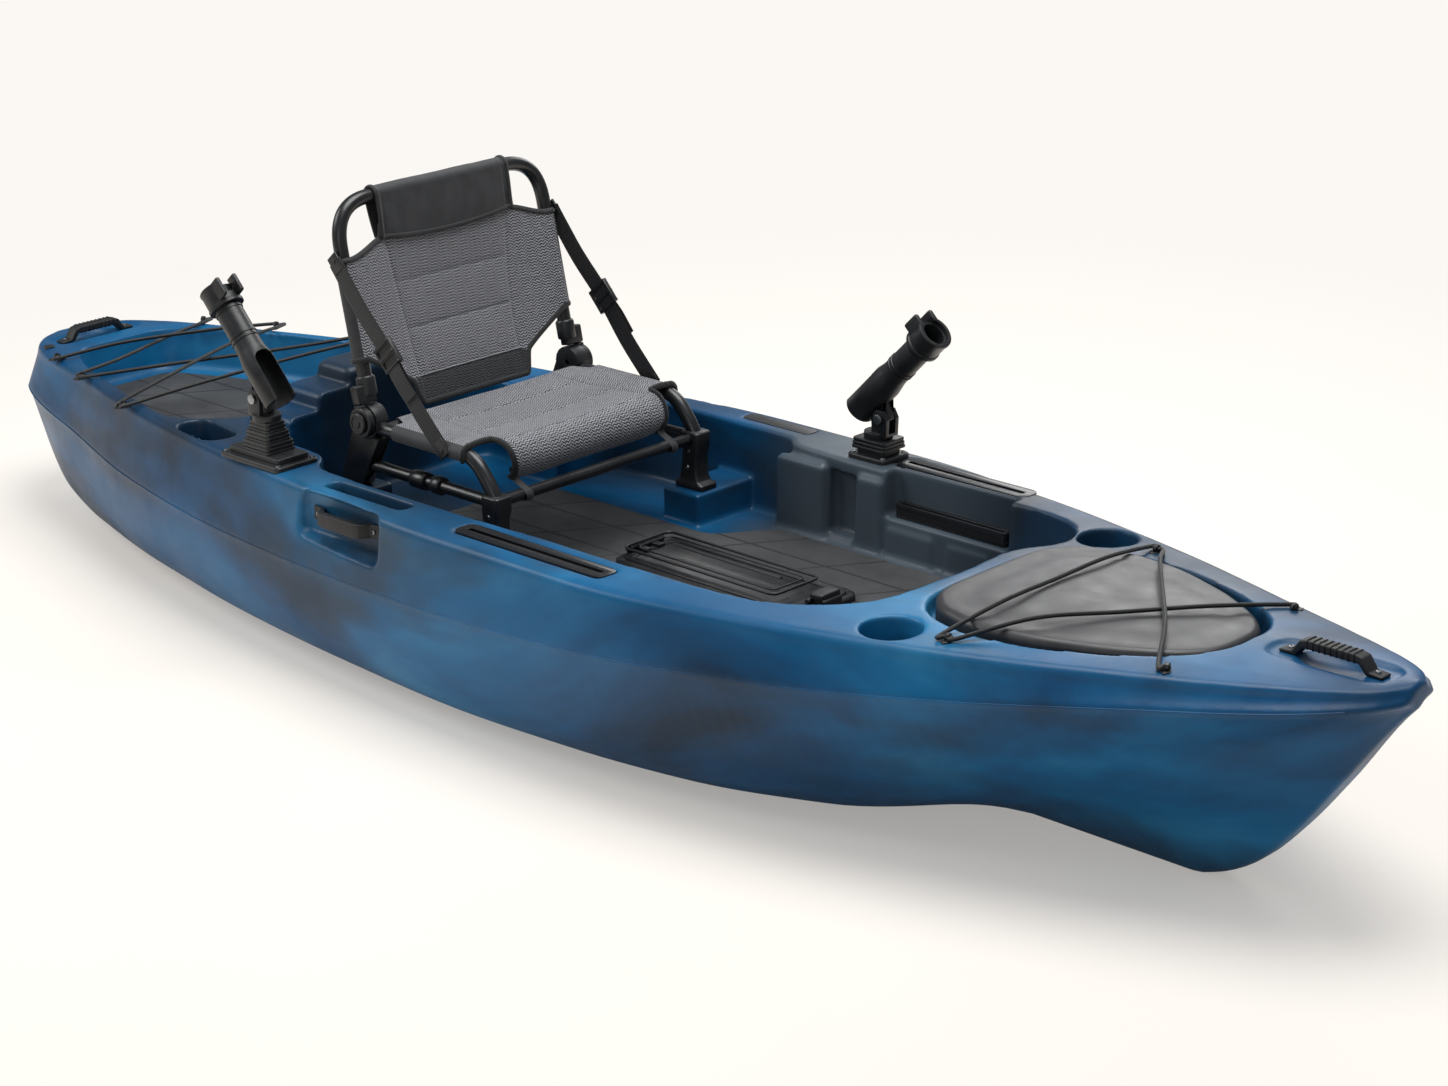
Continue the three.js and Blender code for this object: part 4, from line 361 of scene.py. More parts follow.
# %% Hull tables
HALF_LENGTH, HALF_BEAM, HULL_HEIGHT = 1.55, 0.437, 0.384
DECK_HALF = ((-1, 0.09), (-0.985, 0.2), (-0.96, 0.28), (-0.9, 0.375), (-0.8, 0.475), (-0.6, 0.677),
             (-0.4, 0.812), (-0.2, 0.902), (0, 0.959), (0.2, 0.954), (0.4, 0.858), (0.6, 0.684),
             (0.8, 0.43), (0.9, 0.285), (0.95, 0.2), (0.98, 0.13), (1, 0.04))
DECK_HEIGHT = ((-1, 0.807), (-0.8, 0.843), (-0.6, 0.864), (-0.4, 0.877), (-0.2, 0.883), (0, 0.888),
               (0.2, 0.89), (0.4, 0.901), (0.6, 0.919), (0.8, 0.945), (1, 0.985))
SEAM_HALF = ((-1, 0.14), (-0.985, 0.26), (-0.96, 0.345), (-0.9, 0.435), (-0.8, 0.53), (-0.6, 0.737),
             (-0.4, 0.872), (-0.2, 0.945), (0, 0.988), (0.1, 0.994), (0.2, 0.988), (0.4, 0.908),
             (0.6, 0.737), (0.8, 0.485), (0.9, 0.335), (0.95, 0.245), (0.98, 0.17), (1, 0.08))
SEAM_HEIGHT = ((-1, 0.615), (-0.8, 0.561), (-0.6, 0.535), (-0.4, 0.53), (-0.2, 0.538), (0, 0.564),
               (0.2, 0.606), (0.4, 0.666), (0.6, 0.742), (0.8, 0.833), (0.9, 0.875), (1, 0.935))
KEEL_HEIGHT = ((-1, 0.56), (-0.987, 0.45), (-0.961, 0.27), (-0.929, 0.1), (-0.87, 0), (0, 0), (0.78, 0),
               (0.805, 0.026), (0.843, 0.107), (0.885, 0.282), (0.934, 0.543), (0.981, 0.812), (1, 0.9))
CHINE_HALF = ((-1, 0.1), (-0.969, 0.24), (-0.923, 0.31), (-0.874, 0.375), (-0.78, 0.49), (-0.6, 0.69),
              (-0.4, 0.835), (-0.2, 0.915), (0, 0.955), (0.16, 0.915), (0.32, 0.81), (0.45, 0.65),
              (0.61, 0.458), (0.74, 0.366), (0.87, 0.25), (0.968, 0.114), (1, 0.045))
CHINE_HEIGHT = ((-1, 0.59), (-0.985, 0.49), (-0.969, 0.36), (-0.923, 0.17), (-0.874, 0.07), (-0.78, 0.025),
                (-0.6, 0.021), (0.3, 0.021), (0.45, 0.06), (0.61, 0.26), (0.74, 0.49), (0.87, 0.7),
                (0.968, 0.86), (1, 0.92))
BILGE_ROUND = ((-1, 0.03), (-0.9, 0.14), (-0.8, 0.2), (-0.5, 0.29), (0, 0.3), (0.32, 0.27), (0.45, 0.2),
               (0.61, 0.1), (0.74, 0.06), (0.87, 0.04), (1, 0.01))
RUNNER = ((-1, 0), (-0.56, 0), (-0.42, 1), (0.3, 1), (0.42, 0), (1, 0))
CAMBER = ((-1, 0), (0.4, 0), (0.6, 0.6), (0.8, 1), (1, 0.3))
KEEL_HALF, KEEL_DEPTH, DECK_ROUND, DECK_CAMBER, SEAM_PROUD = 0.022, 0.008, 0.018, 0.012, 0.0035
print("hull:", 2 * HALF_LENGTH, "by", 2 * HALF_BEAM, "m")


# %% Smooth tables
def smooth_through(rows):
    places = [row[0] for row in rows]
    values = [row[1] for row in rows]
    slopes = [(values[i + 1] - values[i]) / (places[i + 1] - places[i]) for i in range(len(rows) - 1)]
    tangents = [slopes[0]]
    for before, after in zip(slopes, slopes[1:]):
        tangents.append(0 if before * after <= 0 else 2 * before * after / (before + after))
    tangents.append(slopes[-1])

    def value(s):
        i = next((i for i in range(len(slopes)) if s <= places[i + 1]), len(slopes) - 1)
        span = places[i + 1] - places[i]
        t = min(1.0, max(0.0, (s - places[i]) / span))
        rise, first, second = values[i + 1] - values[i], span * tangents[i], span * tangents[i + 1]
        return values[i] + t * (first + t * (3 * rise - 2 * first - second + t * (first + second - 2 * rise)))
    return value


deck_half_at, deck_height_at = smooth_through(DECK_HALF), smooth_through(DECK_HEIGHT)
seam_half_at, seam_height_at = smooth_through(SEAM_HALF), smooth_through(SEAM_HEIGHT)
keel_height_at, bilge_at = smooth_through(KEEL_HEIGHT), smooth_through(BILGE_ROUND)
chine_half_at, chine_height_at = smooth_through(CHINE_HALF), smooth_through(CHINE_HEIGHT)
runner_at, camber_at = smooth_through(RUNNER), smooth_through(CAMBER)


def deck_top(x, y):
    s = x / HALF_LENGTH
    deck = deck_height_at(s) * HULL_HEIGHT
    half = deck_half_at(s) * HALF_BEAM
    edge = min(DECK_ROUND, (deck - seam_height_at(s) * HULL_HEIGHT) * 0.4, half * 0.4)
    across = min(1.0, abs(y) / (half - edge))
    return deck + camber_at(s) * DECK_CAMBER * (1 - across * across)


print("deck over the middle:", round(deck_top(0, 0), 4), "m")


# %% Cross-sections
def arc(start, corner, end, steps):
    for i in range(steps + 1):
        t = i / steps
        yield tuple((1 - t) ** 2 * a + 2 * t * (1 - t) * b + t * t * c for a, b, c in zip(start, corner, end))


def around(count):
    return np.linspace(0, 2 * math.pi, count + 1)[:-1]


def between(a, b, share):
    return tuple(p + (q - p) * share for p, q in zip(a, b))


def half_section(s):
    deck, seam_z, keel = (f(s) * HULL_HEIGHT for f in (deck_height_at, seam_height_at, keel_height_at))
    chine = (chine_half_at(s) * HALF_BEAM, chine_height_at(s) * HULL_HEIGHT)
    seam = (seam_half_at(s) * HALF_BEAM, seam_z)
    half = deck_half_at(s) * HALF_BEAM
    edge = min(DECK_ROUND, (deck - seam_z) * 0.4, half * 0.4)
    keel_half = min(KEEL_HALF, chine[0] * 0.3)
    keel_rise = min(KEEL_DEPTH, max(0.0, chine[1] - keel) * 0.5)
    foot = (keel_half * 1.4, keel + keel_rise)
    points = [(0.0, keel), (keel_half, keel), foot]
    for share, down in ((0.39, 0), (0.43, 1), (0.52, 1), (0.56, 0)):
        place = between(foot, chine, share)
        points.append((place[0], place[1] - down * runner_at(s) * keel_rise))
    bilge = bilge_at(s) * HALF_BEAM
    inner = between(chine, foot, min(0.42, bilge / math.dist(chine, foot)))
    outer = between(chine, seam, min(0.8, bilge / math.dist(chine, seam)))
    points += list(arc(inner, chine, outer, 10))
    proud = min(SEAM_PROUD, edge * 0.3)
    points += [(seam[0] - proud, seam[1] - proud * 2), seam, (seam[0] - proud * 0.2, seam[1] + proud)]
    shoulder, rim = (half, deck - edge), (half - edge, deck)
    points += [between(seam, shoulder, 0.5), *arc(shoulder, (half, deck), rim, 6)]
    for share in (0.75, 0.5, 0.25, 0.0):
        points.append((rim[0] * share, deck + camber_at(s) * DECK_CAMBER * (1 - share * share)))
    return points


print("points in half a section:", len(half_section(0)))


# %% [markdown]
# Every lofted, lathed or cut piece is built from rings of points. Faces join each
# ring to the next, the two ends are closed, and points in the same place are
# merged, because a Boolean needs a closed mesh.

# %% Meshes from rings
def edited(mesh, edit):
    """Changes a mesh by an edit that is given its bmesh."""
    work = bmesh.new()
    work.from_mesh(mesh)
    edit(work)
    work.to_mesh(mesh)
    work.free()


def outward(work):
    bmesh.ops.recalc_face_normals(work, faces=work.faces)


def merged(work):
    bmesh.ops.remove_doubles(work, verts=work.verts, dist=1e-6)
    outward(work)


def mesh_piece(name, points, faces):
    mesh = bpy.data.meshes.new(name)
    mesh.from_pydata(points, [], faces)
    edited(mesh, merged)
    return in_scene(name, mesh)


def loft(name, rings):
    size = len(rings[0])
    faces = [(r * size + i, r * size + (i + 1) % size, (r + 1) * size + (i + 1) % size, (r + 1) * size + i)
             for r in range(len(rings) - 1) for i in range(size)]
    faces += [tuple(reversed(range(size))), tuple(range((len(rings) - 1) * size, len(rings) * size))]
    return mesh_piece(name, [point for ring in rings for point in ring], faces)


# %% Hull loft
STATIONS = 150
stations = [math.sin(math.pi / 2 * (2 * i / STATIONS - 1) * 0.86) / math.sin(math.pi / 2 * 0.86)
            for i in range(STATIONS + 1)]
rings = []
for s in stations:
    half = half_section(s)
    ring = half + [(-y, z) for y, z in reversed(half[1:-1])]
    rings.append([(s * HALF_LENGTH, y, z) for y, z in ring])
hull = loft("hull_moulding", rings)
print("hull loft:", len(rings), "sections of", len(rings[0]), "points")

# %% [markdown]
# Everything sunk into the deck is cut with a Boolean modifier: the cockpit, the
# tank well, the cups and the pockets. A cutter is a stack of level outlines whose
# walls lean in towards a rounded foot, as a mould needs them to. The outlines
# repeat the solid's, with finer corners.


# %% Outlines
def offset(outline, distance):
    moved = []
    for i, (x, y) in enumerate(outline):
        before = Vector((x, y)) - Vector(outline[i - 1])
        after = Vector(outline[(i + 1) % len(outline)]) - Vector((x, y))
        before.normalize()
        after.normalize()
        normal = Vector((before.y + after.y, -before.x - after.x)).normalized()
        spread = max(0.4, math.sqrt((1 + before.dot(after)) / 2))
        moved.append((x + normal.x * distance / spread, y + normal.y * distance / spread))
    return moved


def rounded(outline, radius, steps):
    result = []
    for i, corner in enumerate(outline):
        here = Vector(corner)
        back = Vector(outline[i - 1]) - here
        onward = Vector(outline[(i + 1) % len(outline)]) - here
        if abs(back.normalized().cross(onward.normalized())) < 0.01:
            continue
        reach = min(radius, back.length * 0.49, onward.length * 0.49)
        start, end = here + back.normalized() * reach, here + onward.normalized() * reach
        result += list(arc(tuple(start), corner, tuple(end), steps))
    return result


def from_shares(shares):
    return [(x * HALF_LENGTH, y * HALF_BEAM) for x, y in shares]


def both_sides(half):
    """An outline from its starboard half, which starts and ends beside the middle."""
    return (*half, *((x, -y) for x, y in reversed(half)))


def rectangle(length, width, x, y, turn=0.0):
    corners = [(i * length / 2, j * width / 2) for i, j in ((1, 1), (-1, 1), (-1, -1), (1, -1))]
    return [(x + u * math.cos(turn) - v * math.sin(turn), y + u * math.sin(turn) + v * math.cos(turn))
            for u, v in corners]


print("points round a square:", len(rounded(rectangle(1, 1, 0, 0), 0.1, 4)))


# %% Cutters
def stack(name, outline, corner, steps, levels):
    """Each level grows the outline by its first number and lays it at the second."""
    return loft(name, [[(x, y, z) for x, y in rounded(offset(outline, grow), corner, steps)]
                       for grow, z in levels])


def well(name, outline, corner, steps, floor, rim, draft, fillet):
    levels = [(0.0, rim + 0.12), (0.0, rim)]
    for i in range(7):
        angle = i / 6 * math.pi / 2
        levels.append((-draft - fillet * (1 - math.cos(angle)), floor + fillet * (1 - math.sin(angle))))
    return stack(name, outline, corner, steps, levels)


def prism(name, outline, corner, steps, low, high):
    return stack(name, outline, corner, steps, ((0.0, low), (0.0, high)))


def box(name, low, high):
    pick()
    middle = [(a + b) / 2 for a, b in zip(low, high)]
    bpy.ops.mesh.primitive_cube_add(size=1, location=middle, scale=[b - a for a, b in zip(low, high)])
    made = bpy.context.object
    made.name = name
    bpy.ops.object.transform_apply(location=True, rotation=True, scale=True)
    return made


def settle(piece):
    """Applies the piece's modifiers in order."""
    pick(piece)
    for modifier in list(piece.modifiers):
        bpy.ops.object.modifier_apply(modifier=modifier.name)
    return piece


def combine(piece, other, operation="DIFFERENCE"):
    cut = piece.modifiers.new("cut", "BOOLEAN")
    cut.operation, cut.solver, cut.object = operation, "MANIFOLD", other
    settle(piece)
    bpy.data.objects.remove(other)
    return piece


# %% Outlines of the wells
COCKPIT = from_shares((
    (-0.387, -0.44), (-0.378, -0.56), (-0.29, -0.58), (-0.265, -0.7), (-0.2, -0.715), (0, -0.715),
    (0.1, -0.697), (0.323, -0.697), (0.4, -0.664), (0.446, -0.552), (0.481, -0.39), (0.487, 0),
    (0.481, 0.28), (0.51, 0.435), (0.505, 0.56), (0.476, 0.655), (0.43, 0.697), (0.15, 0.697),
    (0.075, 0.715), (0.058, 0.78), (-0.13, 0.79), (-0.255, 0.76), (-0.29, 0.58), (-0.378, 0.56),
    (-0.387, 0.44)))
TANK = from_shares(both_sides((
    (-0.895, -0.19), (-0.878, -0.27), (-0.82, -0.375), (-0.766, -0.45), (-0.67, -0.545),
    (-0.6, -0.618), (-0.551, -0.655), (-0.51, -0.58), (-0.478, -0.47), (-0.462, -0.3))))
BOW_HATCH = from_shares(both_sides((
    (0.507, -0.2), (0.512, -0.31), (0.54, -0.43), (0.6, -0.49), (0.665, -0.465), (0.74, -0.365),
    (0.795, -0.245), (0.822, -0.12))))
COCKPIT_FLOOR, TANK_FLOOR = 0.192, 0.235
DECK_MIDDLE = deck_top(0, 0)
BOW_DECK = deck_top(BOW_HATCH[0][0], 0)
BOW_LAND = BOW_DECK - 0.027
PORT_WALL = 0.697 * HALF_BEAM
CUP_X, CUP_Y, CUP_HALF, CUP_DEPTH, OVAL_X = 0.83, 0.258, 0.0475, 0.072, -0.73
CUP_RIM = deck_top(CUP_X, CUP_Y)
BOW_GRIP, STERN_GRIP, SIDE_GRIP, INLAY = 1.412, -1.468, -0.242, (0.022, 0.384)
# Each track: its middle in x and y, and its length.
TRACKS = ((0.180, -0.355, 0.336), (0.458, 0.364, 0.278))
# Each pedestal: its middle in x, its length, its top, and where it starts in y.
PEDESTALS = ((-0.392, 0.092, 0.296, 0.192), (-0.042, 0.084, 0.250, 0.196))
# Each rod holder: its side, place, turn, tilt in degrees, steps, and its base's size.
ROD_HOLDERS = (("starboard", -0.510, -0.327, math.pi, 47, 3, 0.158, 0.092),
               ("port", 0.274, 0.356, 0.0, 45, 1, 0.084, 0.072))


def pocket_floor(x, y, half_length, half_width, depth):
    return min(deck_top(x + i * half_length, y + j * half_width) for i in (-1, 1) for j in (-1, 1)) - depth


print("corners: cockpit", len(COCKPIT), "tank well", len(TANK), "bow hatch", len(BOW_HATCH))

# %% [markdown]
# In the real mould all of this is one surface. Here each form is added to the hull
# by a union or taken from it by a difference, in the order in which they meet: the
# steps behind the seat first, so that the wells can cut into them.

# %% Steps behind the seat
for i in range(3):
    low, high = DECK_MIDDLE - 0.02, DECK_MIDDLE + 0.03 * (i + 1) - 0.01
    plan = rectangle(0.15 - i * 0.022, 0.43 - i * 0.14, -0.648, 0)
    levels = ((0.0, low), (-0.0045, high - 0.009), (-0.0135, high))
    combine(hull, stack("step", plan, 0.022, 6, levels), "UNION")
outer = in_scene("outer", hull.data.copy())
print("hull with its steps:", len(hull.data.polygons), "faces")

# %% Wells and pockets
combine(hull, well("cockpit", COCKPIT, 0.042, 7, COCKPIT_FLOOR, DECK_MIDDLE, 0.008, 0.012))
combine(hull, well("tank", TANK, 0.042, 6, TANK_FLOOR, deck_top(TANK[0][0], 0), 0.014, 0.024))
combine(hull, well("hatch_recess", BOW_HATCH, 0.034, 6, BOW_LAND, BOW_DECK, 0.0035, 0.0035))
WALL_BLOCKS = ((0.098, 0.202, 0.013, DECK_MIDDLE - 0.016), (0.278, 0.330, 0.011, DECK_MIDDLE - 0.016),
               (0.345, 0.440, 0.010, 0.250), (0.475, 0.560, 0.009, 0.248))
for low_x, high_x, reach, top_z in WALL_BLOCKS:
    rings = []
    for z, grow, more in ((COCKPIT_FLOOR - 0.003, 0.006, 0.008), (COCKPIT_FLOOR + 0.012, 0.002, 0.002),
                          (top_z - 0.006, 0.0, 0.0), (top_z, -0.006, -0.006)):
        face, behind = PORT_WALL - reach - more, PORT_WALL + 0.006
        rings.append([(low_x - grow, face, z), (high_x + grow, face, z),
                      (high_x + grow + 0.006, behind, z), (low_x - grow - 0.006, behind, z)])
    combine(hull, loft("relief", rings), "UNION")
combine(hull, prism("wall_pocket", rectangle(0.062, 0.034, 0.240, PORT_WALL), 0.008, 4,
                    COCKPIT_FLOOR + 0.014, COCKPIT_FLOOR + 0.126))
combine(hull, prism("rail_niche", rectangle(0.262, 0.054, 0.467, PORT_WALL), 0.008, 4, 0.262, 0.6))
for name, side in SIDES:
    ring = [(CUP_X + CUP_HALF * math.cos(a), side * CUP_Y + CUP_HALF * math.sin(a)) for a in around(48)]
    combine(hull, well("cup", ring, 0.0, 1, CUP_RIM - CUP_DEPTH, CUP_RIM, 0.0035, 0.007))
    plan = rectangle(0.138, 0.066, OVAL_X, side * 0.292, side * 0.16)
    oval_floor = deck_top(OVAL_X, 0.326) - 0.058
    combine(hull, well("oval", plan, 0.033, 8, oval_floor, deck_top(OVAL_X, 0), 0.007, 0.007))
long_rim = deck_top(-0.226, 0.346)
combine(hull, well("long_pocket", rectangle(0.196, 0.036, -0.226, -0.346), 0.012, 5, long_rim - 0.044,
                   long_rim, 0.0035, 0.0035))
print("hull with its wells:", len(hull.data.polygons), "faces")

# %% [markdown]
# Four blocks in the cockpit carry the feet of the seat. A plain box would stick out
# through the hull's side, so each is first cut to the shape of the uncut hull.

# %% Pedestals for the seat's feet
for name, side in SIDES:
    for x, length, height, inner in PEDESTALS:
        near, far = sorted((side * inner, side * 0.43))
        block = box("pedestal", (x - length / 2, near, COCKPIT_FLOOR - 0.007), (x + length / 2, far, height))
        trimmed = combine(in_scene("trimmed", outer.data.copy()), block, "INTERSECT")
        combine(hull, trimmed, "UNION")
bpy.data.objects.remove(outer)
print("hull with its pedestals:", len(hull.data.polygons), "faces")

# %% [markdown]
# Handles, tracks and plates sit in shallow seats of their own outline, which keep
# them flush with the deck. Behind the grips the plastic is hollowed for fingers.

# %% Seats of the fittings
def seat(outline, corner, floor):
    combine(hull, prism("seat", outline, corner, 6, floor, floor + 0.3))


bow_floor = pocket_floor(BOW_GRIP, 0, 0.084, 0.012, 0.005)
stern_floor = pocket_floor(STERN_GRIP, 0, 0.012, 0.084, 0.005)
seat(rectangle(0.206, 0.074, BOW_GRIP, 0), 0.036, bow_floor)
seat(rectangle(0.200, 0.062, STERN_GRIP, 0, math.pi / 2), 0.030, stern_floor)
for x, y, length in TRACKS:
    seat(rectangle(length + 0.003, 0.047, x, y), 0.017, pocket_floor(x, y, length / 2, 0.022, 0.011))
for _, x, y, _, _, _, length, width in ROD_HOLDERS:
    seat(rectangle(length, width, x, y), 0.012, pocket_floor(x, y, length / 2, width / 4, 0.001))
seat(rectangle(0.16, 0.034, *INLAY), 0.012, pocket_floor(*INLAY, 0.079, 0.016, 0.003))
seat(offset(BOW_HATCH, -0.037), 0.03, 0.20)
seat(rectangle(0.33, 0.096, 0.238, 0.034), 0.015, 0.03)
print("hull with its seats:", len(hull.data.polygons), "faces")

# %% [markdown]
# Fingers need room under a grip, so the plastic is hollowed there. A flattened
# sphere is taken away from it, which leaves a smooth dish without corners.

# %% Finger room under the bow and stern grips
for x, turn, floor in ((BOW_GRIP, 0.0, bow_floor), (STERN_GRIP, math.pi / 2, stern_floor)):
    pick()
    bpy.ops.mesh.primitive_uv_sphere_add(segments=48, ring_count=24, location=(x, 0, floor + 0.004),
                                         rotation=(0, 0, turn), scale=(0.058, 0.032, 0.016))
    scoop = bpy.context.object
    bpy.ops.object.transform_apply(location=True, rotation=True, scale=True)
    combine(hull, scoop)
print("grip floors:", round(bow_floor, 3), round(stern_floor, 3), "m")

# %% [markdown]
# The side handles lie in pockets that are sunk into the hull's sides. Each pocket
# is lofted outwards and widens a little, as it must to come off its mould.

# %% Pockets behind the side handles
side_half = deck_half_at(SIDE_GRIP / HALF_LENGTH) * HALF_BEAM
for name, side in SIDES:
    plan = rectangle(0.214, 0.072, SIDE_GRIP, 0.297)
    rings = []
    for grow, reach in ((0.0, -0.022), (0.001, -0.012), (0.007, 0.002), (0.010, 0.08)):
        rings.append([(x, side * (side_half + reach), z) for x, z in rounded(offset(plan, grow), 0.024, 6)])
    combine(hull, loft("side_pocket", rings))
print("hull with its side pockets:", len(hull.data.polygons), "faces")

# %% [markdown]
# A rotomoulded edge is never sharp: the powder builds up a skin that rounds every
# corner by a few millimetres. So the cut hull is rebuilt on a fine voxel grid,
# softened a little, and thinned again to a mesh that keeps its dense triangles
# where it bends.

# %% Round moulded edges
skin = hull.modifiers.new("skin", "REMESH")
skin.mode, skin.voxel_size = "VOXEL", (0.0038)
soft = hull.modifiers.new("soft", "SMOOTH")
soft.factor, soft.iterations = 0.5, (7)
settle(hull)
dense = len(hull.data.polygons)
thin = hull.modifiers.new("thin", "DECIMATE")
thin.ratio = 185000 / (2 * dense)
settle(hull)
for polygon in hull.data.polygons:
    polygon.use_smooth = True
hull.data.materials.clear()
hull.data.materials.append(hull_plastic)
HULL_NODES = [name for name in frame["nodes"] if name.startswith("hull_")]
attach(hull, "hull")
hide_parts(*HULL_NODES)
print("hull skin:", dense, "quads, kept", len(hull.data.polygons), "faces")


# %% [markdown]
# Most fittings are moulded or turned pieces whose solid already has the right
# shape, with corners that are too sharp. A copy of the solid is merged, its flat
# triangles are joined to faces, and a bevel rounds its edges by about a millimetre.

# %% Fittings with rounded edges
BODY_OF = {node: body for body, nodes in frame["record"]["behaviour"]["bodies"].items() for node in nodes}
print("bodies:", *sorted(set(BODY_OF.values())))


def dress(piece, material, *nodes, body=None, slot=None, rides=True):
    piece.data.materials.clear()
    piece.data.materials.append(material)
    if rides:
        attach(piece, body or BODY_OF[nodes[0]])
    if nodes:
        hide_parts(*nodes)
    return piece


def smooth(piece, angle=35):
    pick(piece)
    bpy.ops.object.shade_smooth_by_angle(angle=math.radians(angle))
    return piece


def turn_edges(piece, width, segments=2, angle=30):
    rounding = piece.modifiers.new("rounding", "BEVEL")
    rounding.width, rounding.segments, rounding.limit_method = width, segments, "ANGLE"
    rounding.angle_limit = math.radians(angle)
    return smooth(settle(piece))


def refined(node, material, width, angle=25, segments=2):
    solid = frame["nodes"][node].data
    made = mesh_piece(node + "_moulded", [v.co[:] for v in solid.vertices],
                      [p.vertices[:] for p in solid.polygons])
    edited(made.data, lambda work: bmesh.ops.dissolve_limit(
        work, angle_limit=math.radians(2), verts=work.verts, edges=work.edges))
    return dress(turn_edges(made, width, segments, angle), material, node)


# %% [markdown]
# Tubes, straps, piping and cords are all one section drawn along a path, as a wire
# is drawn through a die. A curve with a bevel would do that too, but it gives no
# texture map in real sizes, and weaves need one. So this helper lays the rings
# itself, turns them as little as it can, and writes a map in metres.


# %% Drawn sections
def bent(points, reach, steps=8):
    """A path whose corners are rounded over reach before and after each."""
    path = [Vector(points[0])]
    for before, corner, after in zip(points, points[1:], points[2:]):
        here = Vector(corner)
        back, onward = Vector(before) - here, Vector(after) - here
        start = here + back.normalized() * min(reach, back.length * 0.48)
        end = here + onward.normalized() * min(reach, onward.length * 0.48)
        path += [Vector(p) for p in arc(tuple(start), tuple(here), tuple(end), steps)]
    return path + [Vector(points[-1])]


def through(points, steps=5):
    """A smooth path through given points."""
    inner = [Vector(p) for p in points]
    ends = [inner[0] * 2 - inner[1], *inner, inner[-1] * 2 - inner[-2]]
    path = []
    for a, b, c, d in zip(ends, ends[1:], ends[2:], ends[3:]):
        for i in range(steps):
            t = i / steps
            path.append(0.5 * (2 * b + (c - a) * t + (2 * a - 5 * b + 4 * c - d) * t ** 2
                               + (3 * b - a - 3 * c + d) * t ** 3))
    return path + [inner[-1]]


def oval(across, up, count=20):
    return [(across * math.cos(a), up * math.sin(a)) for a in around(count)]


def drawn(name, path, section, up=(0, 0, 1)):
    count, normal, distance = len(section), Vector(up), 0.0
    points, along = [], []
    for i, here in enumerate(path):
        ahead = (path[min(i + 1, len(path) - 1)] - path[max(i - 1, 0)]).normalized()
        normal = (normal - ahead * normal.dot(ahead)).normalized()
        side = ahead.cross(normal)
        distance += (here - path[i - 1]).length if i else 0.0
        along.append(distance)
        points += [here + side * a + normal * b for a, b in section]
    girth = [0.0]
    for here, onward in zip(section, section[1:] + section[:1]):
        girth.append(girth[-1] + math.dist(here, onward))
    faces, flats = [], []
    for r in range(len(path) - 1):
        for i in range(count):
            j = (i + 1) % count
            faces.append((r * count + i, r * count + j, (r + 1) * count + j, (r + 1) * count + i))
            flats += [(along[r], girth[i]), (along[r], girth[i + 1]),
                      (along[r + 1], girth[i + 1]), (along[r + 1], girth[i])]
    last = (len(path) - 1) * count
    faces += [tuple(range(count)), tuple(range(last, last + count))]
    flats += section + section
    mesh = bpy.data.meshes.new(name)
    mesh.from_pydata([tuple(p) for p in points], [], faces)
    mesh.uv_layers.new(name="UVMap").data.foreach_set("uv", [value for flat in flats for value in flat])
    edited(mesh, outward)
    return smooth(in_scene(name, mesh), 50)


print("points round a tube:", len(oval(0.01, 0.01)))


# %% [markdown]
# Knobs, sleeves and screw heads are made on a lathe, or look as if they were: one
# profile goes round an axis. Plates are cut from sheet and have an eased upper
# edge. Pieces that are one moulding in reality are joined to one object.

# %% Turned pieces, slabs and joins
def turned(name, profile, place, along, sides=40):
    """A lathe piece: profile gives the radius and the height along its axis."""
    axis = Vector(along).normalized()
    across = axis.orthogonal().normalized()
    upward = axis.cross(across)
    rings = []
    for radius, height in profile:
        middle = Vector(place) + axis * height
        rings.append([tuple(middle + (across * math.cos(a) + upward * math.sin(a)) * radius)
                      for a in around(sides)])
    return smooth(loft(name, rings), 40)


def slab(name, plan, corner, low, high, edge):
    """A level plate with a rounded upper edge."""
    angles = np.linspace(0, math.pi / 2, 4)
    levels = [(0.0, low)] + [(-edge * (1 - math.cos(a)), high - edge * (1 - math.sin(a))) for a in angles]
    return smooth(stack(name, plan, corner, 6, levels), 50)


def join(name, *pieces):
    pick(*pieces)
    bpy.ops.object.join()
    pieces[0].name = name
    return pieces[0]


def screws(name, places, along, radius=0.0035):
    """Pan heads with a socket, standing on the given places."""
    heads = [turned("head", [(radius, 0), (radius, radius * 0.3), (radius * 0.8, radius * 0.6),
                             (radius * 0.42, radius * 0.66), (radius * 0.38, radius * 0.2)], place, along, 18)
             for place in places]
    return join(name, *heads)


# %% [markdown]
# Where the two halves of the mould meet, the plastic keeps a fine raised line along
# both sides of the boat. It is a thin cord, half sunk into the skin.

# %% Parting line
for name, side in SIDES:
    path = []
    for s in np.linspace(-0.975, 0.962, 160):
        y, z = seam_half_at(s) * HALF_BEAM - 0.0012, seam_height_at(s) * HULL_HEIGHT
        path.append(Vector((s * HALF_LENGTH, side * y, z)))
    seam_line = drawn(f"parting_line_{name}", path, oval(0.0019, 0.0019, 8))
    dress(seam_line, hull_plastic, body="hull", slot="hull_plastic")
print("parting lines:", round((path[-1] - path[0]).length, 2), "m")

# %% [markdown]
# The floor hatch's lid is stiffened by moulded ridges, and its latch has a cap to
# grip. Their places come from the boxes of the lid's and the latch's solids.


# %% Lid details
def corners_of(node):
    return [Vector(corner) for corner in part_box(node)]


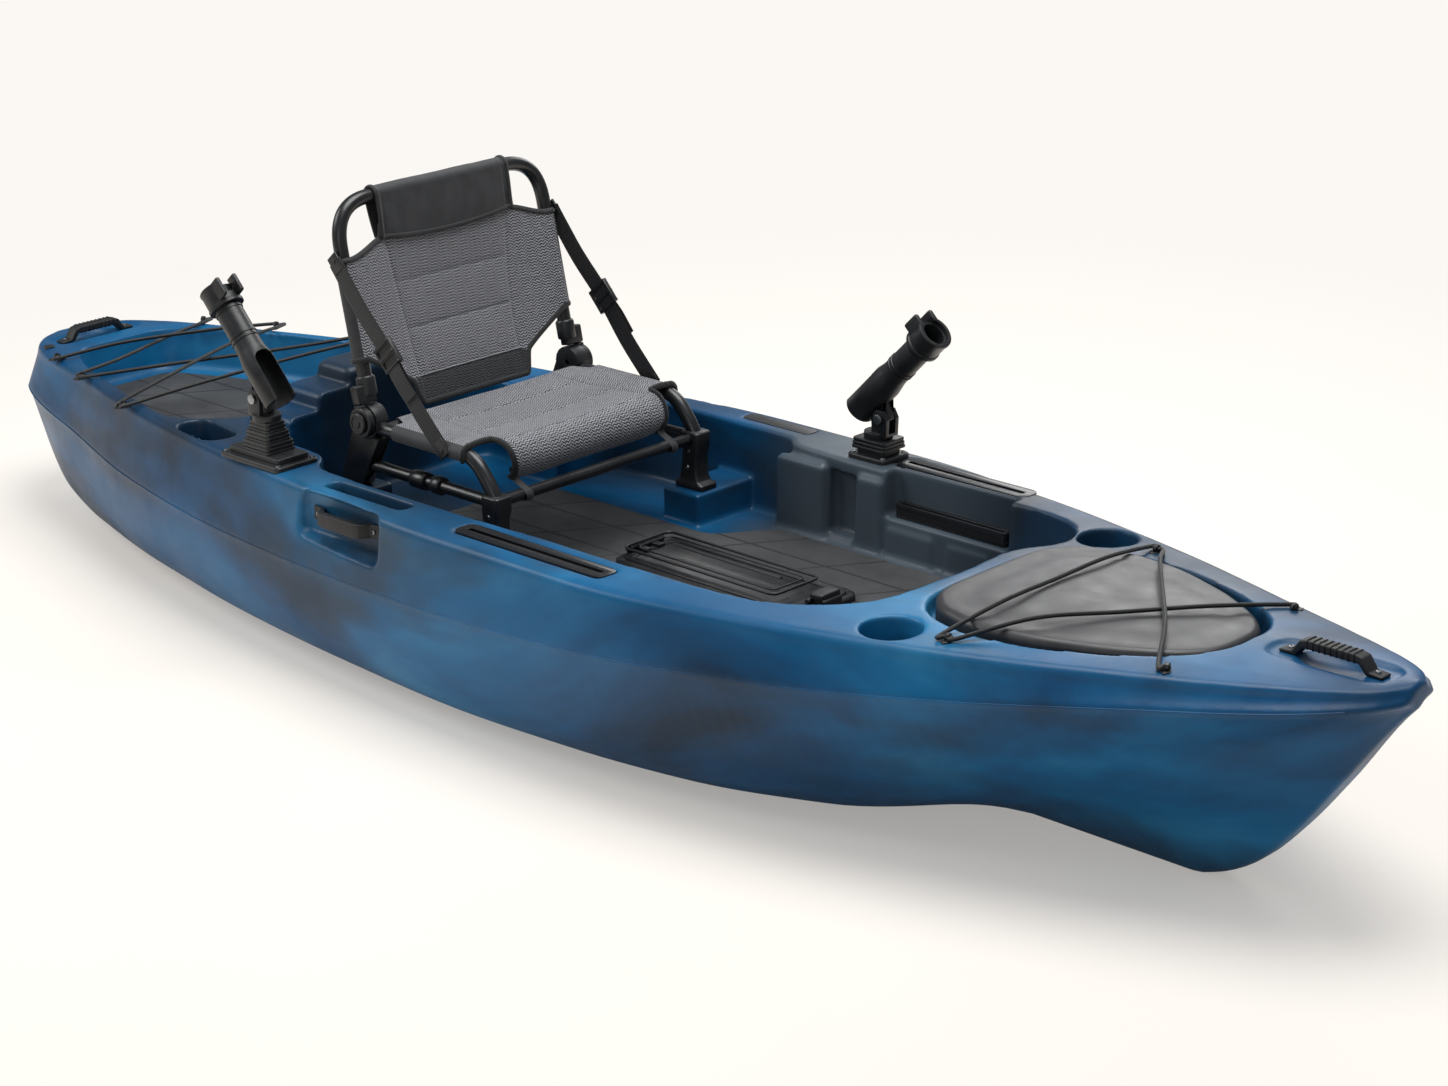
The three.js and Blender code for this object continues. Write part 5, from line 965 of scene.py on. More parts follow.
lid_low, lid_high = corners_of("centre_hatch_lid")
lid_middle, lid_size = (lid_low + lid_high) / 2, lid_high - lid_low
field = rectangle(lid_size.x - 0.046, lid_size.y, lid_middle.x - 0.023, lid_middle.y)
for grow, size in ((-0.010, 0.0026), (-0.026, 0.0016)):
    plan = rounded(offset(field, grow), 0.016, 8)
    loop = [Vector((x, y, lid_high.z - 0.0006)) for x, y in plan + plan[:1]]
    ridge = drawn(f"lid_ridge_{round(size * 1e4)}", loop, oval(size, size, 10))
    dress(ridge, black_nylon, body="lid", slot="black_plastic")
rib = [Vector((lid_low.x + lid_size.x * u, lid_middle.y + 0.012, lid_high.z - 0.0005))
       for u in (0.2, 0.35, 0.55, 0.75)]
dress(drawn("lid_centre_rib", rib, oval(0.003, 0.002, 10)), black_nylon, body="lid", slot="black_plastic")

latch_low, latch_high = corners_of("lid_latch")
latch_middle = (latch_low + latch_high) / 2
plan = rectangle(latch_high.x - latch_low.x - 0.006, 0.050, latch_middle.x, latch_middle.y)
cap = slab("lid_latch_cap", plan, 0.007, latch_high.z - 0.002, latch_high.z + 0.006, 0.003)
dress(cap, black_nylon, body="latch", slot="black_plastic")
print("lid:", [round(v, 3) for v in lid_size], "m")

# %% [markdown]
# Pad eyes, tracks, hatch frames, mats and plugs only need their own material and
# edges as round as their mould or cutter leaves them, from 0.6 to 1 mm.

# %% Small fittings
FITTINGS = (
    (black_nylon, 0.0007, [name for name in frame["nodes"] if "_eye_" in name]),
    (anodised, 0.0006, ("gear_track_starboard", "gear_track_port", "wall_track_port")),
    (black_nylon, 0.0010, ("centre_hatch_rim", "centre_hatch_lid", "lid_latch", "drain_plug",
                           "gunwale_plate_port")),
    (stainless, 0.0006, ("lid_hinge_pin",)), (foam, 0.0008, ("cockpit_mat", "tankwell_mat")),
    (seal_skin, 0.0010, ("bow_hatch_seal",)))
for material, width, nodes in FITTINGS:
    for node in nodes:
        refined(node, material, width)
print("small fittings:", sum(len(nodes) for _, _, nodes in FITTINGS))

# %% [markdown]
# Each grab handle is a nylon strap with two screwed feet and an overmoulded grip.
# The solid gives the strap. On the bow and stern handles round ribs are set across
# the grip, where fingers close on it.

# %% Grab handles
GRIP_RIBS = 9
for node, axis, lift in (
        ("bow_handle", (1, 0, 0), (0, 0, 1)), ("stern_handle", (0, 1, 0), (0, 0, 1)),
        ("side_handle_starboard", (1, 0, 0), (0, -1, 0)), ("side_handle_port", (1, 0, 0), (0, 1, 0))):
    low, high = corners_of(node)
    middle = (low + high) / 2
    along, out = Vector(axis), Vector(lift)
    across = along.cross(out)
    refined(node, grip_skin, 0.0026, segments=5)
    half_out = abs((high - low).dot(out)) / 2
    feet = [middle + along * side * 0.0705 - out * (half_out - 0.0052) for side in (-1, 1)]
    dress(screws(node + "_screws", feet, out, 0.0042), stainless, body="hull", slot="steel")
    if node.startswith("side"):
        continue
    ribs = []
    for i in range(GRIP_RIBS):
        place = middle + along * (i - (GRIP_RIBS - 1) / 2) * 0.0095 + out * (half_out - 0.0065)
        ring = bent([place + across * u + out * v for u, v in (
            (0.0, 0.0068), (0.0122, 0.0068), (0.0122, -0.0068), (-0.0122, -0.0068), (-0.0122, 0.0068),
            (0.0, 0.0068))], 0.004, 4)
        ribs.append(drawn("rib", ring, oval(0.0012, 0.0009, 8), along))
    dress(join(node + "_ribs", *ribs), grip_skin, body="hull", slot="black_plastic")
print("handles: 4 straps with their screws")

# %% [markdown]
# The bow cover is thick moulded rubber that snaps over the rim. Its edge rolls down
# into the moat with a large radius, and its top is gently crowned. It is lofted
# from the outline of the recess, drawn in towards the middle.

# %% Bow cover
BOW_MOAT, COVER_EDGE, COVER_FOOT, COVER_CROWN = 0.0133, 0.013, 0.330, 0.009
cover_plan = rounded(offset(BOW_HATCH, -BOW_MOAT), 0.034, 10)
cover_top = BOW_DECK + 0.015
cover_x = sum(x for x, y in cover_plan) / len(cover_plan)
rings = [[(x, y, COVER_FOOT) for x, y in cover_plan]]
for a in np.linspace(0, math.pi / 2, 9):
    grow = -COVER_EDGE * (1 - math.cos(a))
    rings.append([(x, y, cover_top - COVER_EDGE * (1 - math.sin(a))) for x, y in offset(cover_plan, grow)])
inside = offset(cover_plan, -COVER_EDGE)
for share in (0.94, 0.86, 0.76, 0.64, 0.5, 0.36, 0.22, 0.08):
    lip = -0.0016 if share == 0.86 else 0.0
    rise = cover_top + COVER_CROWN * (1 - share * share) + lip
    rings.append([(cover_x + (x - cover_x) * share, y * share, rise) for x, y in inside])
dress(smooth(loft("bow_cover", rings), 60), cover_skin, "bow_hatch_cover")
print("bow cover top:", round(cover_top + COVER_CROWN, 4), "m")

# %% [markdown]
# The seat and the back are frames of bent aluminium tube. The tubes are drawn round
# along the centre lines of the solids. A bent cylinder would do too, but it needs a
# bend modifier for each corner, and a drawn section takes any path.

# %% Seat frame and lower rails
TUBE, RAIL_HALF, RAIL_Z, RAIL_BEND = 0.0125, 0.234, 0.408, 0.0325
LOWER_Z, BAR_X, HUB_X, HUB_Z = 0.338, -0.310, -0.344, 0.418
tubes = []
for name, side in SIDES:
    y = side * RAIL_HALF
    corners = [(-0.3315, y, RAIL_Z), (-0.088, y, RAIL_Z), (-0.042, y, 0.352), (-0.03575, y, 0.326)]
    path = bent(corners, RAIL_BEND)
    tubes.append(drawn("rail", path, oval(TUBE, TUBE, 24), (0, 1, 0)))
for x, z in ((-0.03888, 0.3395), (BAR_X, RAIL_Z)):
    ends = [Vector((x, -RAIL_HALF, z)), Vector((x, RAIL_HALF, z))]
    tubes.append(drawn("bar", ends, oval(0.010, 0.010, 20)))
dress(join("seat_frame_tubes", *tubes), powder_coat, "seat_frame")
for name, side in SIDES:
    y = side * RAIL_HALF
    rail = drawn("rail", [Vector((-0.3858, y, LOWER_Z)), Vector((-0.0608, y, LOWER_Z))], oval(0.0106, 0.0106))
    sleeves = [turned("sleeve", [(0.0108, low), (0.0145, low + 0.001), (0.0156, low + 0.003),
                                 (0.0156, high - 0.003), (0.0145, high - 0.001), (0.0108, high)],
                      (-0.223, y, LOWER_Z), (1, 0, 0)) for low, high in ((-0.0187, 0.0187), (0.034, 0.056))]
    dress(join(f"lower_rail_tube_{name}", rail, *sleeves), powder_coat, f"lower_rail_{name}")
print("seat rails:", RAIL_Z, "m up,", 2 * RAIL_HALF, "m apart")

# %% [markdown]
# The front feet are moulded legs that are riveted to the rail. They are lofted from
# a few level outlines, a wide sole, a slim leg and a head round the tube. A dial
# on each hub sets the back's lean.

# %% Feet with rivets, hubs and their bolts
DIAL = [(0.0050, 0), (0.0165, 0), (0.0185, 0.0012), (0.0185, 0.0046), (0.0170, 0.0062), (0.0135, 0.0062),
        (0.0128, 0.0048), (0.0070, 0.0048), (0.0062, 0.0066), (0.0, 0.0066)]
FOOT_LEVELS = ((0.2503, -0.0400, 0.066, 0.042, 0.008), (0.2590, -0.0400, 0.066, 0.042, 0.008),
               (0.2640, -0.0420, 0.046, 0.036, 0.006), (0.2760, -0.0430, 0.038, 0.034, 0.006),
               (0.3100, -0.0405, 0.034, 0.034, 0.006), (0.3280, -0.0385, 0.040, 0.038, 0.009),
               (0.3500, -0.0385, 0.040, 0.038, 0.009), (0.3520, -0.0385, 0.036, 0.034, 0.008))
for name, side in SIDES:
    for node in (f"rear_foot_{name}", f"recline_hub_{name}"):
        refined(node, black_nylon, 0.0024, segments=3)
    rings = []
    for z, x, long, wide, corner in FOOT_LEVELS:
        plan = rounded(rectangle(long, wide, x, side * RAIL_HALF), corner, 5)
        rings.append([(u, v, z) for u, v in plan])
    foot = turn_edges(loft(f"front_foot_{name}_moulded", rings), 0.0012, 2, 40)
    dress(foot, black_nylon, f"front_foot_{name}")
    rivets = []
    for way in (1, -1):
        y = side * (RAIL_HALF + way * 0.0168)
        places = [(-0.0395, y, 0.318), (-0.0425, y, 0.288)]
        rivets.append(screws("rivets", places, (0, way * side, 0), 0.0042))
    dress(join(f"foot_rivets_{name}", *rivets), stainless, body="hull", slot="steel")
    dial = turned("dial", DIAL, (HUB_X, side * 0.2622, HUB_Z), (0, side, 0))
    dress(dial, black_nylon, f"recline_bolt_{name}", slot="black_plastic")
print("feet, hubs and dials:", 3 * len(SIDES))

# %% [markdown]
# The back turns on the hubs. Its own frame leans aft by about twelve degrees, so its
# places are given as out, across and up in that leaning plane.

# %% Backrest frame
BACK_ORIGIN, BACK_LEAN = Vector((HUB_X, 0, HUB_Z)), math.atan2(0.076, 0.360)
BACK_UP = Vector((-math.sin(BACK_LEAN), 0, math.cos(BACK_LEAN)))
BACK_OUT = Vector((math.cos(BACK_LEAN), 0, math.sin(BACK_LEAN)))
BACK_HALF, BACK_TOP, BACK_FOOT, BACK_BEND = 0.232, 0.36793, 0.044, 0.078


def on_back(out, y, up):
    return BACK_ORIGIN + BACK_OUT * out + BACK_UP * up + Vector((0, y, 0))


corners = ((-BACK_HALF, BACK_FOOT), (-BACK_HALF, BACK_TOP), (BACK_HALF, BACK_TOP), (BACK_HALF, BACK_FOOT))
path = bent([on_back(0, y, up) for y, up in corners], BACK_BEND, 16)
dress(drawn("bow_tube", path, oval(TUBE, TUBE, 24), BACK_OUT), powder_coat, "backrest_frame")
clamps = []
for name, side in SIDES:
    clamps.append(turned("clamp", [(0.0126, 0.0), (0.0155, 0.0008), (0.0166, 0.003), (0.0166, 0.030),
                                   (0.0155, 0.0325), (0.0140, 0.034), (0.0126, 0.034)],
                         on_back(0, side * BACK_HALF, 0.042), BACK_UP))
    disc = turned("knuckle", [(0.0, 0.0), (0.0245, 0.0), (0.0262, 0.0014), (0.0262, 0.0124), (0.0245, 0.0140),
                              (0.0205, 0.0140), (0.0198, 0.0130), (0.0, 0.0130)],
                  (HUB_X, side * 0.2478, HUB_Z), (0, side, 0), 56)
    clamps.append(disc)
    for inner, reach, low, high, lift in ((0.222, 0.2616, 0.020, 0.052, 0.0105),
                                          (0.2480, 0.2612, 0.0, 0.030, 0.0)):
        near, far = sorted((side * inner, side * reach))
        neck = box("neck", (-0.0095, near, low), (0.0095, far, high))
        neck.data.transform(Matrix.Translation(BACK_ORIGIN) @ Matrix.Rotation(-BACK_LEAN, 4, "Y"))
        turn_edges(neck, 0.003, 3)
        neck.data.transform(Matrix.Translation(BACK_UP * lift))
        clamps.append(neck)
dress(join("backrest_clamps", *clamps), black_nylon, body="backrest", slot="black_plastic")
print("backrest frame top:", round(on_back(0, 0, BACK_TOP).z, 3), "m")


# %% [markdown]
# Cloth on a frame is a sheet whose edges wrap round the tubes. A grid is laid over
# it: one direction runs across the sheet as it was cut, round the tubes too, and
# the other runs from edge to edge, so that scooped edges are simply rows that end
# early. Sewn channels press the foam down, and between them it puffs up a little.

# %% Sheets on a frame
WRAP_END = math.radians(100)


def smoothstep(low, high, value):
    t = min(1.0, max(0.0, (value - low) / (high - low)))
    return t * t * (3 - 2 * t)


def grid_sheet(name, columns, rows, place, facing, thickness=0.0024):
    points, flats = [], []
    for j in range(rows + 1):
        for i in range(columns + 1):
            point, flat = place(i / columns, j / rows)
            points.append(tuple(point))
            flats.append(flat)
    wide = columns + 1
    faces = [(j * wide + i, j * wide + i + 1, (j + 1) * wide + i + 1, (j + 1) * wide + i)
             for j in range(rows) for i in range(columns)]
    mesh = bpy.data.meshes.new(name)
    mesh.from_pydata(points, [], faces)
    if mesh.polygons[len(faces) // 2 + columns // 2].normal.dot(Vector(facing)) < 0:
        mesh.flip_normals()
    layer = mesh.uv_layers.new(name="UVMap")
    for loop in mesh.loops:
        layer.data[loop.index].uv = flats[loop.vertex_index]
    made = in_scene(name, mesh)
    thick = made.modifiers.new("thick", "SOLIDIFY")
    thick.thickness, thick.offset, thick.use_even_offset = thickness, -1.0, False
    return smooth(settle(made), 60)


def wrapped(s, half, radius):
    """Across a sheet: where the flat place s lies, as y and height over the tube's axis."""
    edge = half + radius * math.cos(WRAP_END)
    if abs(s) <= edge:
        return s, None
    angle = WRAP_END - (abs(s) - edge) / radius
    return math.copysign(half + radius * math.cos(angle), s), radius * math.sin(angle)


def sewn(distance, puff, reach, depth, width=0.0022):
    return puff * (1 - math.exp(-distance / reach)) - depth * math.exp(-(distance / width) ** 2)


low, high = (sewn(distance, 0.0042, 0.020, 0.0018) for distance in (0, 1))
print("depth of a sewn channel:", round(high - low, 4), "m")


# %% [markdown]
# The cloth of the back has a scooped lower edge, a stepped upper edge and sewn
# channels. These functions give its edges and any point of its face, so that the
# panel, the piping and the stitches all follow the same lines.

# %% Lines of the backrest cloth
WRAP = TUBE + 0.0026
EDGE_RISE = WRAP * math.sin(WRAP_END)
BACK_EDGE = BACK_HALF + WRAP * math.cos(WRAP_END)
BACK_CUT = BACK_EDGE + WRAP * math.radians(175)


def back_low(s):
    side = abs(s)
    low = 0.004 + 0.042 * smoothstep(0.119, 0.136, side)
    return low + 0.058 * min(1.0, max(0.0, (side - 0.136) / 0.094)) ** 0.9


def back_high(s):
    side = abs(s)
    return 0.318 - 0.024 * smoothstep(0.139, 0.150, side) - 0.022 * smoothstep(0.146, 0.228, side) ** 0.8


def back_point(s, up):
    y, height = wrapped(s, BACK_HALF, WRAP)
    if height is not None:
        return on_back(height, y, up)
    depth = 0.010 + 0.014 * math.sin(math.pi * min(1.0, max(0.0, up / 0.34)))
    out = EDGE_RISE - depth * (1 - (abs(y) / BACK_EDGE) ** 2.4)
    seam = 0.115 + 0.026 * (max(0.0, up - 0.05) / 0.26) ** 1.5
    gaps = [abs(abs(y) - seam)] if up > 0.046 else [0.03]
    if abs(y) < seam:
        gaps += [abs(up - 0.132) + 0.0008, abs(up - 0.214) + 0.0008, abs(up - 0.048)]
    gaps.append(BACK_EDGE - abs(y) + 0.003)
    ripple = 0.0011 * noise.noise(Vector((y * 16, up * 11, 4.0)))
    return on_back(out + sewn(min(gaps), 0.0042, 0.020, 0.0018) + ripple, y, up)


def back_place(u, v):
    s = BACK_CUT * (2 * u - 1)
    up = back_low(s) + v * (back_high(s) - back_low(s))
    return back_point(s, up), (s, up)


print("back cloth:", round(2 * BACK_CUT, 3), "m across, laid flat")


# %% [markdown]
# The panel is one sheet in three fabrics: quilted mesh in the middle, a darker band
# along its foot, and plain cloth round the tubes. In reality they are sewn together.
# Here each face takes its fabric by its place, so that no seam can open.

# %% Backrest panel
FINE = 1.0
back_panel = grid_sheet("backrest_panel", int(230 * FINE), int(120 * FINE), back_place, BACK_OUT)
dress(back_panel, seat_mesh, "backrest_cloth")
back_panel.data.materials.append(band_mesh)
back_panel.data.materials.append(black_cloth)
for polygon in back_panel.data.polygons:
    place = polygon.center - BACK_ORIGIN
    if abs(place.y) > 0.2365:
        polygon.material_index = 2
    elif place.dot(BACK_UP) < 0.0475 and abs(place.y) < 0.128:
        polygon.material_index = 1
print("backrest panel:", len(back_panel.data.polygons), "faces")


# %% [markdown]
# Raw edges of cloth fray, so they are bound with a folded strip. The strip is drawn
# as a flat oval along the same lines that the cloth ends on.

# %% Piping round the back's edges
def edge_path(point, edge, low, high, count):
    return [point(s, edge(s)) for s in np.linspace(low, high, count)]


piping = []
for edge in (back_low, back_high):
    for side in (-1, 1):
        near = 0.0 if edge is back_low else 0.1385
        path = [point - BACK_OUT * 0.0014 for point in
                edge_path(back_point, edge, side * near, side * (BACK_CUT - 0.004), 110)]
        piping.append(drawn("piping", path, oval(0.0052, 0.0030, 12), BACK_OUT))
dress(join("backrest_piping", *piping), piping_cloth, body="backrest", slot="black_webbing")
print("runs of piping:", len(piping))
thread_line = [back_point(y, 0.0505) + BACK_OUT * 0.0012 for y in np.linspace(-0.1205, 0.1205, 60)]
dress(drawn("backrest_stitch", thread_line, oval(0.0008, 0.0006, 6), BACK_OUT), thread_grey,
      body="backrest", slot="seat_mesh")

# %% [markdown]
# A wide band of plain cloth goes up the front, over the top bar and down the rear.
# It is one sheet, laid by its distance along the cloth, with a slow noise for the
# slack and a pressed line where the hem is sewn.

# %% Head cover
HEAD_HALF, HEAD_WRAP, HEAD_LOW = 0.1476, TUBE + 0.0030, 0.285


def head_place(u, v):
    y = HEAD_HALF * (2 * u - 1)
    low = HEAD_LOW + 0.011 * (y / HEAD_HALF) ** 2
    front_gap = back_point(y, low + 0.002) - on_back(0, y, low + 0.002)
    foot_out = front_gap.dot(BACK_OUT) + 0.0036
    arc_length, run = math.pi * HEAD_WRAP, BACK_TOP - low
    distance = v * (2 * run + arc_length)
    ripple = 0.0014 * noise.noise(Vector((y * 18, distance * 22, 9.0))) + 0.0007 * noise.noise(
        Vector((y * 50, distance * 30, 2.0)))
    hem = 0.0011 * math.exp(-((abs(y) - HEAD_HALF + 0.010) / 0.0016) ** 2)
    swell = ripple - hem
    if distance < run:
        t = distance / run
        out = foot_out + (HEAD_WRAP - foot_out) * t ** 0.8
        point = on_back(out + swell * min(1.0, t * 5), y, low + distance)
    elif distance < run + arc_length:
        angle = (distance - run) / HEAD_WRAP
        reach = HEAD_WRAP + swell * 0.5
        point = on_back(reach * math.cos(angle), y, BACK_TOP + reach * math.sin(angle))
    else:
        t = (distance - run - arc_length) / run
        out = -HEAD_WRAP + (HEAD_WRAP - 0.006) * t ** 1.4
        point = on_back(out - swell, y, BACK_TOP - (distance - run - arc_length))
    return point, (y, distance)


head_cover = grid_sheet("head_cover", int(130 * FINE), int(96 * FINE), head_place, -BACK_OUT, 0.0015)
dress(head_cover, black_cloth, "backrest_head_cover")
low_path = [head_place(u, 0.004)[0] + BACK_OUT * 0.0004 for u in np.linspace(0, 1, 80)]
sides_path = [[head_place(u, v)[0] for v in np.linspace(0, 1, 70)] for u in (0.0, 1.0)]
hems = [drawn("hem", path, oval(0.0042, 0.0026, 12), BACK_OUT) for path in (low_path, *sides_path)]
dress(join("head_cover_piping", *hems), piping_cloth, body="backrest", slot="black_webbing")

# %% [markdown]
# The seat cloth hangs between the side rails. It wraps over them and over the rear
# bar, and its middle rolls down over the front, held to the front bar by a strip of
# binding at each corner.

# %% Lines of the seat cloth
BAR_WRAP = 0.0124
REAR_TURN = BAR_WRAP * math.radians(105)
TOP_RUN, FRONT_ROLL, FRONT_TURN = 0.222, 0.033, math.radians(150)
FRONT_START = REAR_TURN + TOP_RUN
SEAT_EDGE = RAIL_HALF + WRAP * math.cos(WRAP_END)
SEAT_CUT = SEAT_EDGE + WRAP * math.radians(150)
FULL_RUN, WING_RUN = FRONT_START + FRONT_ROLL * FRONT_TURN, REAR_TURN + 0.209


def seat_line(t):
    """The middle line: its place in x and z, and the way out of the cloth."""
    top_z = RAIL_Z + BAR_WRAP
    if t < REAR_TURN:
        angle = math.pi / 2 + (REAR_TURN - t) / BAR_WRAP
        out = Vector((math.cos(angle), 0, math.sin(angle)))
        return Vector((BAR_X, 0, RAIL_Z)) + out * BAR_WRAP, out
    if t < FRONT_START:
        return Vector((BAR_X + t - REAR_TURN, 0, top_z)), Vector((0, 0, 1))
    angle = math.pi / 2 - (t - FRONT_START) / FRONT_ROLL
    out = Vector((math.cos(angle), 0, math.sin(angle)))
    return Vector((BAR_X + TOP_RUN, 0, top_z - FRONT_ROLL)) + out * FRONT_ROLL, out


def seat_end(s):
    return FULL_RUN - (FULL_RUN - WING_RUN) * smoothstep(0.171, 0.187, abs(s))


def seat_start(s):
    return (REAR_TURN + 0.030) * smoothstep(0.190, 0.222, abs(s))


def seat_point(s, t):
    y, height = wrapped(s, RAIL_HALF, WRAP)
    line, out = seat_line(t)
    if height is not None:
        return Vector((line.x, y, RAIL_Z + height))
    share = min(1.0, max(0.0, (t - REAR_TURN) / TOP_RUN))
    cross = abs(y) / SEAT_EDGE
    rise = (EDGE_RISE - BAR_WRAP) * cross ** 2.4 - 0.010 * (1 - cross ** 2) * math.sin(math.pi * share)
    seam = 0.148 + 0.024 * share
    gaps = [abs(abs(y) - seam), SEAT_EDGE - abs(y) + 0.003]
    if abs(y) < seam:
        gaps += [abs(t - REAR_TURN - place) + 0.0006 for place in (0.062, 0.142)] + [abs(t - FRONT_START)]
    ripple = 0.0012 * noise.noise(Vector((y * 15, t * 15, 7.0)))
    puff = 0.0046 * smoothstep(0.015, 0.065, t - REAR_TURN)
    return Vector((line.x, y, line.z)) + out * (rise + sewn(min(gaps), puff, 0.020, 0.0018) + ripple)


def seat_place(u, v):
    s = SEAT_CUT * (2 * u - 1)
    t = seat_start(s) + v * (seat_end(s) - seat_start(s))
    return seat_point(s, t), (s, t)


print("seat cloth:", round(2 * SEAT_CUT, 3), "by", round(FULL_RUN, 3), "m, laid flat")


# %% [markdown]
# The seat's panel is made as the back's is. Piping binds the front edge of each
# wing, and a strip of binding goes down from each corner and round the front bar.

# %% Seat panel
seat_panel = grid_sheet("seat_panel", int(230 * FINE), int(130 * FINE), seat_place, (0, 0, 1))
dress(seat_panel, seat_mesh, "seat_cloth")
seat_panel.data.materials.append(black_cloth)
for polygon in seat_panel.data.polygons:
    if abs(polygon.center.y) > RAIL_HALF + 0.0045:
        polygon.material_index = 1
piping = []
for side in (-1, 1):
    path = edge_path(seat_point, seat_end, side * 0.166, side * (SEAT_CUT - 0.003), 150)
    piping.append(drawn("piping", path, oval(0.0056, 0.0032, 12), (0, 0, 1)))
    foot = seat_point(side * 0.170, FULL_RUN)
    strip = bent([foot + Vector((0.004, 0, 0.020)), foot + Vector((0.008, 0, 0.002)),
                  *((x, foot.y, z) for x, z in ((-0.0262, 0.3440), (-0.0262, 0.3290),
                                                (-0.0516, 0.3290), (-0.0516, 0.3450)))], 0.009, 6)
    piping.append(drawn("binding", strip, oval(0.0075, 0.0011, 12), (1, 0, 0)))
dress(join("seat_piping", *piping), piping_cloth, body="hull", slot="black_webbing")
print("seat panel:", len(seat_panel.data.polygons), "faces")

# %% [markdown]
# Each strap is 37 mm webbing with a ladder-lock buckle in its middle. It runs from a tab on the back's tube
# to a tab on the seat rail. It joins two bodies that move apart when the back folds, so it is attached to
# neither.

# %% Straps
STRAP_TOP, STRAP_FOOT = (-0.4006, 0.249, 0.6861), (-0.150, 0.248, 0.408)


def buckle(name, middle, across, along, out):
    plate = box(name, (-0.0245, -0.023, -0.0042), (0.0245, 0.023, 0.0042))
    for low, high in ((0.0045, 0.0170), (-0.0170, -0.0045)):
        combine(plate, box("window", (-0.0196, low, -0.01), (0.0196, high, 0.01)))
    turn_edges(plate, 0.0011, 2)
    bars = [turn_edges(box("bar", (-0.0225, y - 0.0022, 0.0020), (0.0225, y + 0.0022, 0.0068)), 0.0012)
            for y in (-0.0205, 0.0, 0.0205)]
    made = join(name, plate, *bars)
    made.data.transform(standing(middle, across, along, out))
    return made


for name, side in SIDES:
    top_end, foot_end = (Vector((x, side * y, z)) for x, y, z in (STRAP_TOP, STRAP_FOOT))
    run = (foot_end - top_end).normalized()
    out = Vector((0, side, 0))
    out = (out - run * run.dot(out)).normalized()
    across = run.cross(out)
    middle = (top_end + foot_end) / 2
    sag = across * (0.004 if across.z < 0 else -0.004)
    path = through([top_end, top_end.lerp(middle, 0.5) + sag, middle - run * 0.020, middle + run * 0.020,
                    middle.lerp(foot_end, 0.5) + sag, foot_end], 8)
    webs = [drawn("web", path, oval(0.0185, 0.0014, 16), out)]
    tail = through([middle + run * 0.018 + out * 0.003, middle + run * 0.045 + out * 0.0055,
                    middle + run * 0.085 + out * 0.004], 6)
    webs.append(drawn("tail", tail, oval(0.0180, 0.0012, 16), out))
    strap = dress(join(f"strap_webbing_{name}", *webs), webbing, f"seat_strap_{name}", rides=False)
    clasp = dress(buckle(f"strap_buckle_{name}", middle, across, run, out), black_nylon,
                  slot="black_plastic", rides=False)
    for piece in (strap, clasp):
        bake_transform(piece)
    tabs = []
    for end, direction, thick in ((top_end, run, -0.5), (foot_end, -run, 0.5)):
        tab = box("tab", (-0.0135, -0.016, -0.0024), (0.0135, 0.016, 0.0024))
        turn_edges(tab, 0.002, 3)
        tab.data.transform(standing(end + direction * 0.004 + out * 0.0005, across, direction, out))
        pin = turned("pin", [(0.0042, 0), (0.0042, 0.0012), (0.0030, 0.0022), (0.0, 0.0022)],
                     end + out * 0.0026, out, 20)
        tabs.append(join("tab", tab, pin))
    dress(tabs[0], black_nylon, body="backrest", slot="black_plastic").name = f"strap_tab_top_{name}"
    dress(tabs[1], black_nylon, body="hull", slot="black_plastic").name = f"strap_tab_foot_{name}"
print("straps with their buckles")

# %% [markdown]
# Each rod holder is moulded in glass-filled nylon. A stepped riser is screwed to the
# deck and carries a turning fork. The tube has an open cup at its foot for the
# reel's seat, and a collar with a U mouth turns on its upper end to lock the rod in.
# The pieces are modelled in the arm's own plane and then turned into place.

# %% Rod holders
TUBE_LINE, TUBE_ROUND, CUP_ROUND, COLLAR_ROUND = 0.042, 0.024, 0.0285, 0.030
STEP_HEIGHT, BASE_TOP, FORK_RISE, PIVOT_AHEAD = 0.017, 0.019, 0.037, 0.014


def along_tube(name, profile, sides=48):
    return turned(name, profile, (0, 0, TUBE_LINE), (1, 0, 0), sides)


